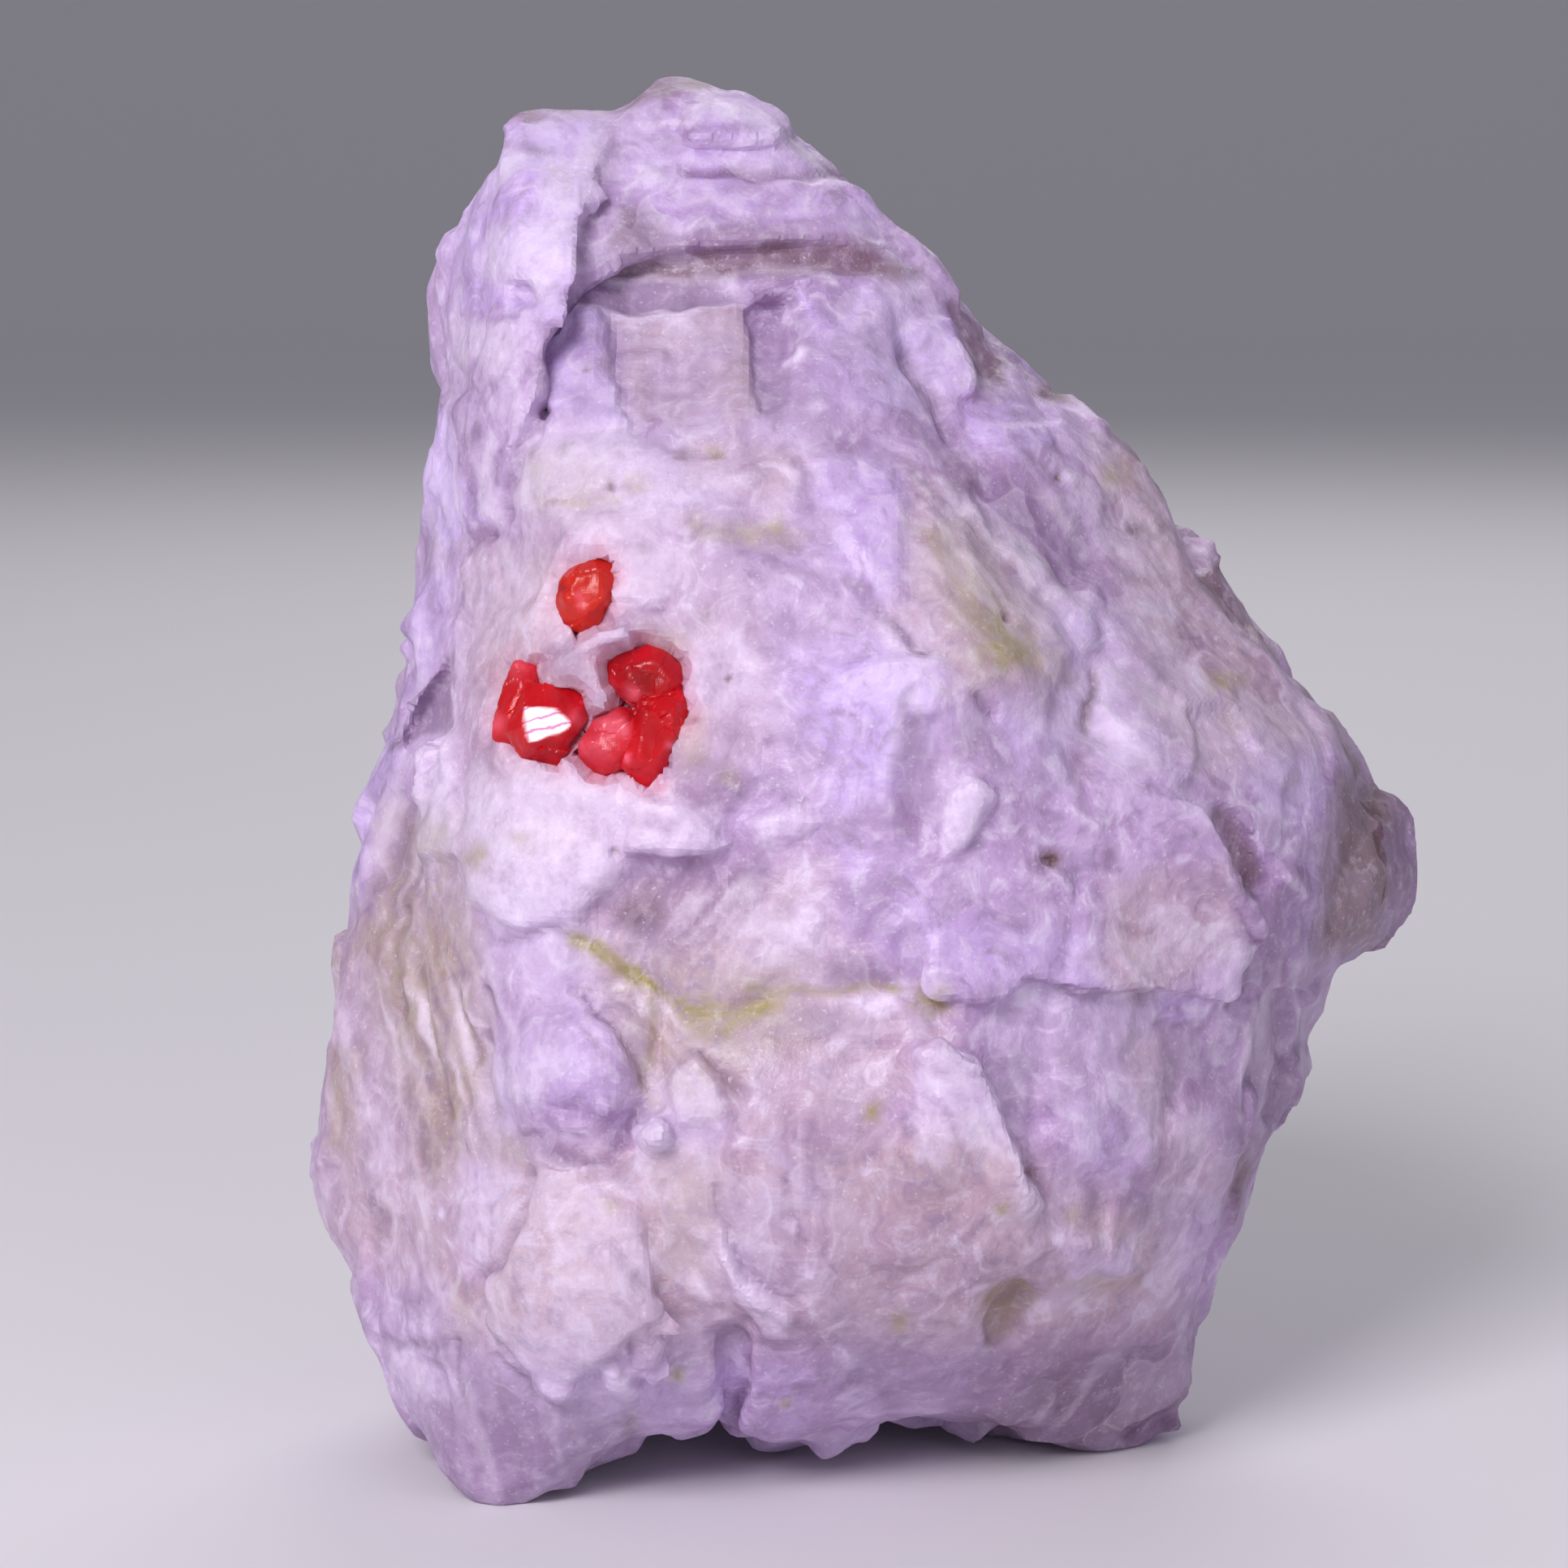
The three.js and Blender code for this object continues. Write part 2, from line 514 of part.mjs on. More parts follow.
function joinRings(first, firstCount, second, secondCount, faces) {
  let i = 0;
  let j = 0;
  while (i < firstCount || j < secondCount) {
    const onFirst = first + (i % firstCount);
    const onSecond = second + (j % secondCount);
    const firstNext = (i + 1) / firstCount;
    const secondNext = (j + 1) / secondCount;
    if (j >= secondCount || (i < firstCount && firstNext <= secondNext)) {
      i += 1;
      if (firstCount > 1) {
        faces.push(onFirst, onSecond, first + (i % firstCount));
      }
    } else {
      j += 1;
      if (secondCount > 1) {
        faces.push(onFirst, onSecond, second + (j % secondCount));
      }
    }
  }
}

// The outline with its long sides divided.
function dividedOutline() {
  const corners = OUTLINE.map((corner) => new THREE.Vector3(...corner));
  return corners.flatMap((corner, index) => {
    const next = corners[(index + 1) % corners.length];
    const parts = Math.ceil(corner.distanceTo(next) / RIM_STEP);
    return Array.from({ length: parts }, (_, part) => corner.clone().lerp(next, part / parts));
  });
}

function pointAlong(rim, position) {
  const before = Math.floor(position) % rim.length;
  return rim[before].clone().lerp(rim[(before + 1) % rim.length], position - Math.floor(position));
}

// One ring of the block, a share of the way from the middle to the rim.
function blockRing(rim, count, share, depthAt) {
  const bulge = bulgeAt(share);
  return Array.from({ length: count }, (_, index) => {
    const edge = pointAlong(rim, (index * rim.length) / count);
    const a = MIDDLE.a + share * (edge.x - MIDDLE.a);
    const b = MIDDLE.b + share * (edge.y - MIDDLE.b);
    return new THREE.Vector3(a, b, edge.z + bulge * depthAt(a, b, edge.z));
  });
}

// The rings crowd towards the rim, where the stone rounds over.
function blockShare(ring, ringCount) {
  return 1 - (1 - ring / ringCount) ** RING_CROWDING;
}

// The block without its plates and hollows.
function makeBlock() {
  const rim = dividedOutline();
  const overRim = (a, b, edge) => Math.max(frontDepth(a, b) - edge, LEAST_BULGE);
  const behindRim = (a, b, edge) => Math.min(backDepth(a, b) - edge, -LEAST_BULGE);
  const rings = [[new THREE.Vector3(MIDDLE.a, MIDDLE.b, frontDepth(MIDDLE.a, MIDDLE.b))]];
  for (let ring = 1; ring < FRONT_RINGS; ring += 1) {
    rings.push(blockRing(rim, RING_STEP * ring, blockShare(ring, FRONT_RINGS), overRim));
  }
  rings.push(rim);
  for (let ring = BACK_RINGS - 1; ring > 0; ring -= 1) {
    rings.push(blockRing(rim, RING_STEP * ring, blockShare(ring, BACK_RINGS), behindRim));
  }
  rings.push([new THREE.Vector3(MIDDLE.a, MIDDLE.b, backDepth(MIDDLE.a, MIDDLE.b))]);
  return solidOf(skinOver(rings));
}

// A body over one patch of the front, between two lifts over the stone's own surface.
function makePatch({ corners, middle }, nearLift, farLift) {
  const flat = corners.map(([a, b]) => new THREE.Vector2(a, b));
  const ordered = THREE.ShapeUtils.isClockWise(flat) ? [...corners].reverse() : corners;
  const [middleA, middleB, middleLift] = middle;
  const ringAt = (share, liftOf) => ordered.map(([cornerA, cornerB, cornerLift]) => {
    const a = THREE.MathUtils.lerp(middleA, cornerA, share);
    const b = THREE.MathUtils.lerp(middleB, cornerB, share);
    const lift = THREE.MathUtils.lerp(middleLift, cornerLift, share ** 2);
    return new THREE.Vector3(a, b, stoneDepth(a, b) + liftOf(lift));
  });
  const tip = (liftOf) => [
    new THREE.Vector3(middleA, middleB, stoneDepth(middleA, middleB) + liftOf(middleLift)),
  ];
  const shares = Array.from({ length: PATCH_RINGS }, (_, index) => (index + 1) / PATCH_RINGS);
  const near = shares.map((share) => ringAt(share, nearLift));
  const far = shares.map((share) => ringAt(share, farLift)).reverse();
  return solidOf(skinOver([tip(nearLift), ...near, ...far, tip(farLift)]));
}

function makePlate(plate) {
  return makePatch(plate, (lift) => lift, (lift) => Math.min(lift, 0) - PLATE_ROOT);
}

function makeHollow(hollow) {
  return makePatch(hollow, (depth) => Math.max(-depth, 0) + CUT_REACH, (depth) => -depth);
}

// One faceted crystal. Grown by the gap, the same shape is its socket in the marble.
function makeCrystal({ girdle, face, girdleLift, faceLift }, gap) {
  const middleA = girdle.reduce((sum, [a]) => sum + a, 0) / girdle.length;
  const middleB = girdle.reduce((sum, [, b]) => sum + b, 0) / girdle.length;
  const surface = stoneDepth(middleA, middleB);
  const corner = ([a, b], share, w) => {
    const reach = Math.hypot(a - middleA, b - middleB);
    const scale = share * (1 + gap / reach);
    return new THREE.Vector3(middleA + scale * (a - middleA), middleB + scale * (b - middleB), w);
  };
  return solidOf(new ConvexGeometry([
    ...girdle.map((point) => corner(point, 1, surface + girdleLift)),
    ...face.map((point) => corner(point, 1, surface + faceLift + gap)),
    ...girdle.map((point) => corner(point, SOCKET_BASE, surface - RUBY_DEPTH - gap)),
  ]));
}

function makeRuby({ bodies }, gap) {
  return bodies.map((body) => makeCrystal(body, gap)).reduce((whole, body) => whole.add(body));
}

function makeMatrix() {
  let stone = makeBlock();
  for (const plate of Object.values(PLATES)) {
    stone = stone.add(makePlate(plate));
  }
  for (const hollow of Object.values(HOLLOWS)) {
    stone = stone.subtract(makeHollow(hollow));
  }
  for (const ruby of Object.values(RUBIES)) {
    stone = stone.subtract(makeRuby(ruby, RUBY_GAP));
  }
  return stone;
}

function solidOf(geometry) {
  const bare = geometry.clone();
  bare.deleteAttribute('normal');
  bare.deleteAttribute('uv');
  const merged = mergeVertices(bare, MERGE_DISTANCE);
  return new wasm.Manifold(new wasm.Mesh({
    numProp: 3,
    vertProperties: new Float32Array(merged.attributes.position.array),
    triVerts: new Uint32Array(merged.index.array),
  }));
}

function geometryOf(solid) {
  const { vertProperties, triVerts } = solid.getMesh();
  const geometry = new THREE.BufferGeometry();
  geometry.setAttribute('position', new THREE.BufferAttribute(new Float32Array(vertProperties), 3));
  geometry.setIndex([...triVerts]);
  return geometry;
}

// From the drawing to real space: what is nearer the eye is smaller than it looks, and the view
// looks down by its tilt.
function standInPlace(solid) {
  const geometry = geometryOf(solid);
  const places = geometry.attributes.position;
  for (let i = 0; i < places.count; i += 1) {
    const w = places.getZ(i);
    const scale = (VIEW_DISTANCE - w) / VIEW_DISTANCE;
    const up = (places.getY(i) - VIEW_HEIGHT) * scale + VIEW_HEIGHT;
    places.setXYZ(
      i,
      places.getX(i) * scale - STAND_X,
      up * Math.sin(VIEW_TILT) - w * Math.cos(VIEW_TILT) - STAND_Y,
      up * Math.cos(VIEW_TILT) + w * Math.sin(VIEW_TILT) - GROUND_CUT,
    );
  }
  return solidOf(geometry);
}

// The feet are worn flat where they meet the ground.
function cutAtGround(solid) {
  const size = 100;
  const ground = new THREE.BoxGeometry(size, size, size);
  ground.translate(0, 0, -size / 2);
  return solid.subtract(solidOf(ground));
}

function makeMesh(name, solid, colour, roughnessValue) {
  const material = new THREE.MeshStandardMaterial({
    color: colour,
    roughness: roughnessValue,
    metalness: 0,
    flatShading: true,
  });
  const mesh = new THREE.Mesh(geometryOf(solid), material);
  mesh.name = name;
  return mesh;
}

const rubyOnMatrix = new THREE.Group();
rubyOnMatrix.add(makeMesh('matrix', cutAtGround(standInPlace(makeMatrix())), 0xc4a6da, 0.55));
for (const [name, ruby] of Object.entries(RUBIES)) {
  rubyOnMatrix.add(makeMesh(name, standInPlace(makeRuby(ruby, 0)), ruby.colour, ruby.roughness));
}

export default rubyOnMatrix;
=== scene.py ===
import math

import bmesh
import bpy
import numpy as np
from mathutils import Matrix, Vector, noise
from mathutils.bvhtree import BVHTree


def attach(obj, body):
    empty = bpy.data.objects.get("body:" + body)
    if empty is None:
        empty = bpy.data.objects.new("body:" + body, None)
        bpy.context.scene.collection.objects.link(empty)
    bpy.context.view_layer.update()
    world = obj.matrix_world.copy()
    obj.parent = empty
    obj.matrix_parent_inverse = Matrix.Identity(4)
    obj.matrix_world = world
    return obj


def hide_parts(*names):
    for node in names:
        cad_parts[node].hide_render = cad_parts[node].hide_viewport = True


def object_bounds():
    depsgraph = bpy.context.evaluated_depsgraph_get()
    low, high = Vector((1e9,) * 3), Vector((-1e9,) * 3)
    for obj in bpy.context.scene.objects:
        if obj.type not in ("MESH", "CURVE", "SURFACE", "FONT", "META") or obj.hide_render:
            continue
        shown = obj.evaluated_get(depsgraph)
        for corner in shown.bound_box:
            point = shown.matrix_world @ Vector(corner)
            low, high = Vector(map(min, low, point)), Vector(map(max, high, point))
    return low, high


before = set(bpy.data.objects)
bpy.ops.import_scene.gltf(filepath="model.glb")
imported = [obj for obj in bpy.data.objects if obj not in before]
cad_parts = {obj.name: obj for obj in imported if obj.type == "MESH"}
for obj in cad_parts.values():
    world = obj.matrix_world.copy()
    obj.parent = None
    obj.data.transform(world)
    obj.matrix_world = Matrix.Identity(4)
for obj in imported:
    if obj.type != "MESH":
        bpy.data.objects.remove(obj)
CAD_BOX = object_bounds()

# Lengths are in millimetres unless a name ends in _M. Blender works in metres.
MM = 0.001

# The stone is drawn the way it looks from the front, as the solids are: a runs to the right,
# b runs up and w runs towards the viewer, in mm on the stone's middle plane.
VIEW_DISTANCE = 140.0
VIEW_HEIGHT = 22.6
VIEW_TILT = math.radians(8)
VIEW_WIDTH = 49.16
STAND_X = 2.49
STAND_Y = 4.84
GROUND_CUT = 1.2
TOWARDS_VIEWER = np.array([0.0, -math.cos(VIEW_TILT), math.sin(VIEW_TILT)])

# Grain of the meshes. The front keeps its fine grain, and the rest of the stone is made coarser.
STONE_VOXEL = 0.192
RUBY_VOXEL = 0.065
BACK_SHARE = 0.25
OVERHANG = 0.2
RUBY_NODES = ("ruby_upper", "ruby_left", "ruby_right")

# How squarely a surface faces the viewer where the coarse back ends, and where the photograph's
# forms and tints and the collars round the rubies fade in. Near the ground all relief fades out.
BACK_ENDS = 0.05
FORMS_SHOW = (0.05, 0.45)
TINTS_SHOW = (-0.25, 0.0)
COLLARS_SHOW = (0.3, 0.7)
GROUND_FADE = (0.05, 0.8)

# Marble nearer to a ruby than the reach is brought right up to it, and past the fade none is. Round
# each ruby the marble also stands up in a low collar.
SOCKET_REACH = 0.36
SOCKET_FADE = 0.62
COLLAR_HEIGHT = 0.45
COLLAR_WIDTH = 2.2

# Red light from the rubies in the marble round them: its strength and how far it reaches.
GLOWS = [(0.6, 0.4), (0.1, 1.4)]

# The natural break of the surface. A swell is smooth, and in a break each grain is cut on its own
# plane: size, height, extra height where the photograph doesn't reach, and seed. A break's last
# number is how often its steps are evened out.
STONE_SWELLS = [(4.2, 0.12, 0.3, 1), (1.5, 0.035, 0.04, 2), (0.6, 0.015, 0.0, 3)]
STONE_BREAKS = [(3.6, 0.24, 0.4, 4, 3), (1.2, 0.06, 0.08, 5, 1), (7.5, 0.0, 0.8, 14, 4)]
RUBY_SWELLS = [(0.7, 0.05, 0.0, 11), (0.25, 0.02, 0.0, 13)]
RUBY_BREAKS = [(0.9, 0.1, 0.0, 12, 0)]
RUBY_GROWTH = 0.07

# How far drawn edges wander, over what length and from which seed, and the narrowest slope that the
# mesh can hold.
STONE_WANDER = (0.2, 0.9, 6)
RUBY_WANDER = (0.1, 0.5, 9)
LEAST_EDGE = 0.2

# How long a streak is for its width, how proud it stands, the seed of the first lot of streaks, and
# the fine fibres between streaks.
STREAK_LENGTH = 12
STREAK_HEIGHT = 0.06
FAINTEST_STREAK = 0.03
STREAK_SEED = 20
FIBRE_SIZE = 0.5
FIBRE_STRENGTH = 0.1
FIBRE_SEED = 8

# How strongly painted shade darkens the cracks and painted highlight lightens the thin edges.
CRACK_SHADE = 0.75
EDGE_HIGHLIGHT = 0.75


def place(a, b, w):
    """A drawn place as a point in Blender's metres."""
    scale = (VIEW_DISTANCE - w) / VIEW_DISTANCE
    up = (b - VIEW_HEIGHT) * scale + VIEW_HEIGHT
    return MM * Vector((
        a * scale - STAND_X,
        up * math.sin(VIEW_TILT) - w * math.cos(VIEW_TILT) - STAND_Y,
        up * math.cos(VIEW_TILT) + w * math.sin(VIEW_TILT) - GROUND_CUT,
    ))


def drawn(points):
    """Where points given in millimetres are in the drawing, as two arrays for a and b."""
    back = points[:, 1] + STAND_Y
    high = points[:, 2] + GROUND_CUT
    up = back * math.sin(VIEW_TILT) + high * math.cos(VIEW_TILT)
    w = high * math.sin(VIEW_TILT) - back * math.cos(VIEW_TILT)
    scale = (VIEW_DISTANCE - w) / VIEW_DISTANCE
    return (points[:, 0] + STAND_X) / scale, (up - VIEW_HEIGHT) / scale + VIEW_HEIGHT


# Meshes: read and write points and normals as arrays, in millimetres.


def points_of(mesh):
    flat = np.empty(3 * len(mesh.vertices), dtype=np.float32)
    mesh.vertices.foreach_get("co", flat)
    return flat.reshape(-1, 3).astype(float) / MM


def normals_of(mesh):
    flat = np.empty(3 * len(mesh.vertices), dtype=np.float32)
    mesh.vertex_normals.foreach_get("vector", flat)
    return flat.reshape(-1, 3).astype(float)


def move_points(mesh, points):
    mesh.vertices.foreach_set("co", (points * MM).astype(np.float32).ravel())
    mesh.update()


def store(mesh, name, values):
    """Keeps one number for each point, for the material to read."""
    attribute = mesh.attributes.new(name, "FLOAT", "POINT")
    attribute.data.foreach_set("value", values.astype(np.float32))


def edit(mesh, change):
    bm = bmesh.new()
    bm.from_mesh(mesh)
    change(bm)
    bm.to_mesh(mesh)
    bm.free()
    mesh.update()


def smooth(bm, rounds):
    for _ in range(rounds):
        bmesh.ops.smooth_vert(
            bm, verts=bm.verts, factor=0.5, use_axis_x=True, use_axis_y=True, use_axis_z=True
        )


def apply_modifiers(piece):
    shown = piece.evaluated_get(bpy.context.evaluated_depsgraph_get())
    finished = bpy.data.meshes.new_from_object(shown)
    before = piece.data
    piece.modifiers.clear()
    piece.data = finished
    bpy.data.meshes.remove(before)
    finished.name = piece.name


def fine_copy(node, name, voxel, smoothing):
    """A copy of a solid with an even, fine mesh that can be carved."""
    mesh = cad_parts[node].data.copy()
    mesh.materials.clear()
    piece = bpy.data.objects.new(name, mesh)
    bpy.context.scene.collection.objects.link(piece)
    edit(mesh, lambda bm: bmesh.ops.remove_doubles(bm, verts=bm.verts, dist=1e-6))
    remesh = piece.modifiers.new("even grain", "REMESH")
    remesh.mode = "VOXEL"
    remesh.voxel_size = voxel * MM
    remesh.adaptivity = 0
    apply_modifiers(piece)
    edit(piece.data, lambda bm: smooth(bm, smoothing))
    return piece


def thin_out(piece, turned_away):
    """Fewer, larger faces where the stone turns away from the viewer."""
    group = piece.vertex_groups.new(name="back")
    for index in np.flatnonzero(turned_away):
        group.add([int(index)], 1.0, "REPLACE")
    fewer = piece.modifiers.new("coarser back", "DECIMATE")
    fewer.ratio = 1 - (1 - BACK_SHARE) * np.mean(turned_away)
    fewer.vertex_group = group.name
    fewer.vertex_group_factor = 1
    apply_modifiers(piece)
    piece.vertex_groups.clear()


def keep_in_box(piece):
    """Holds the few points that stand out furthest to the solids' own box."""
    low, high = (np.array(corner) / MM for corner in CAD_BOX)
    move_points(piece.data, np.clip(points_of(piece.data), low - [OVERHANG, OVERHANG, 0], high + OVERHANG))


# Fields over the surface, each an array with one number for each point.


def ramp(values, low, high):
    """None at low, all at high, and a smooth slope between them."""
    share = np.clip((values - low) / (high - low), 0, 1)
    return share * share * (3 - 2 * share)


def smooth_noise(points, size, seed):
    shift = Vector((seed * 7.1, seed * 3.7, seed * 5.3))
    return np.array([noise.noise(Vector(point) / size + shift) for point in points])


def grain_facets(points, size, seed):
    """Each grain breaks on its own tilted plane: height over the grain's middle, in grain sizes."""
    shift = Vector((seed * 2.3, seed * 9.1, seed * 4.7))
    heights = []
    for point in points:
        spot = Vector(point) / size + shift
        middle = noise.voronoi(spot)[1][0]
        tilt = 2 * noise.cell_vector(middle * 61) - Vector((1, 1, 1))
        heights.append(tilt.dot(spot - middle))
    return np.array(heights)


def blurred(mesh, values, rounds):
    """Each point's number shared with its neighbours, so that steps turn into short slopes."""
    ends = np.empty(2 * len(mesh.edges), dtype=np.int32)
    mesh.edges.foreach_get("vertices", ends)
    first, second = ends.reshape(-1, 2).T
    many = len(values)
    neighbours = np.bincount(ends, minlength=many)
    for _ in range(rounds):
        total = np.bincount(first, values[second], many) + np.bincount(second, values[first], many)
        values = 0.5 * values + 0.5 * total / neighbours
    return values


def natural_break(mesh, points, hidden, swells, breaks):
    """Height of the broken surface, with its extra where it is hidden from the photograph."""
    height = np.zeros(len(points))
    for size, depth, extra, seed in swells:
        height += (depth + extra * hidden) * smooth_noise(points, size, seed)
    for size, depth, extra, seed, rounds in breaks:
        height += (depth + extra * hidden) * blurred(mesh, grain_facets(points, size, seed), rounds)
    return height


def hand_drawn(points, far, size, seed):
    """Drawn places of points, pushed about a little so that no drawn edge runs straight."""
    a, b = drawn(points)
    return a + far * smooth_noise(points, size, seed), b + far * smooth_noise(points, size, seed + 1)


def spot_share(a, b, spot_a, spot_b, reach):
    return np.exp(-((a - spot_a) ** 2 + (b - spot_b) ** 2) / reach**2)


def path_distance(a, b, path):
    least = np.full_like(a, np.inf)
    for (start_a, start_b), (end_a, end_b) in zip(path, path[1:]):
        along_a, along_b = end_a - start_a, end_b - start_b
        share = ((a - start_a) * along_a + (b - start_b) * along_b) / (along_a**2 + along_b**2)
        share = np.clip(share, 0, 1)
        least = np.minimum(least, np.hypot(a - start_a - share * along_a, b - start_b - share * along_b))
    return least


def near_share(a, b, path, reach):
    return np.exp(-((path_distance(a, b, path) / reach) ** 2))


def inside_share(a, b, outline, softness):
    """One well inside an outline, nothing well outside, and a slope across its edge."""
    ring = [*outline, outline[0]]
    inside = np.zeros(len(a), dtype=bool)
    for (start_a, start_b), (end_a, end_b) in zip(ring, ring[1:]):
        if start_b != end_b:
            crosses = (start_b > b) != (end_b > b)
            inside ^= crosses & (a < start_a + (b - start_b) * (end_a - start_a) / (end_b - start_b))
    distance = path_distance(a, b, ring)
    return ramp(np.where(inside, distance, -distance), -softness, softness)


# The front of the stone, read from the photograph. Outlines and paths are in a and b.

# Outlines of plates and hollows that are also paler or deeper than the stone round them. The deeper tint in
# the hollows is painted shade.
UNDER_HOOD = [(-6.7, 38.3), (-2.2, 38.35), (-1.4, 37.7), (-2.3, 37.5), (-6.9, 37.25)]
LEFT_FLAKE = [(-11.3, 23.6), (-10.3, 24.2), (-10.0, 22.4), (-9.8, 20.4), (-11.3, 20.2)]
FLAKE_UNDER_RUBIES = [(-4.9, 22.2), (-2.9, 21.8), (-1.7, 20.7), (-2.8, 20.5), (-5.0, 20.35)]
MIDDLE_FLAKE = [(-1.2, 21.3), (0.2, 22), (1.1, 21.6), (0.6, 20.9), (-0.8, 20.7)]
MIDDLE_CHIP = [(0.2, 18.7), (1, 18.9), (1.2, 18.2), (1, 17.4), (0.3, 17.2), (0.1, 17.8)]
UPRIGHT_FLAKE = [(5, 21.8), (5.7, 22.9), (6.6, 22.3), (5.8, 21), (5.1, 20.2)]
LEDGE_CHIP = [(1.8, 15.9), (3.6, 16.0), (3.8, 15.5), (3.0, 15.05), (2.4, 15.5)]
PLATE_OVER_LENS = [(-9.3, 14.2), (-7.2, 14.0), (-7.6, 12.9), (-9.1, 12.7)]
SHELL_PLATE = [
    (-7.9, 10.2), (-8.5, 8.2), (-9.4, 7.0), (-9.5, 5.6), (-8.6, 4.4), (-7, 3.2), (-6.2, 4.0),
    (-4.0, 6.4), (-4.6, 9.4), (-6.4, 10.3),
]
CHIP_UNDER_SHELL = [(-5.7, 4.4), (-4.9, 4.2), (-4.5, 3.5), (-5.0, 3.3), (-5.7, 3.8)]
LEFT_HOLLOW = [(-12.5, 22.4), (-11.5, 22.6), (-11.4, 20.4), (-11.9, 18.2), (-12.6, 18), (-12.7, 20.4)]

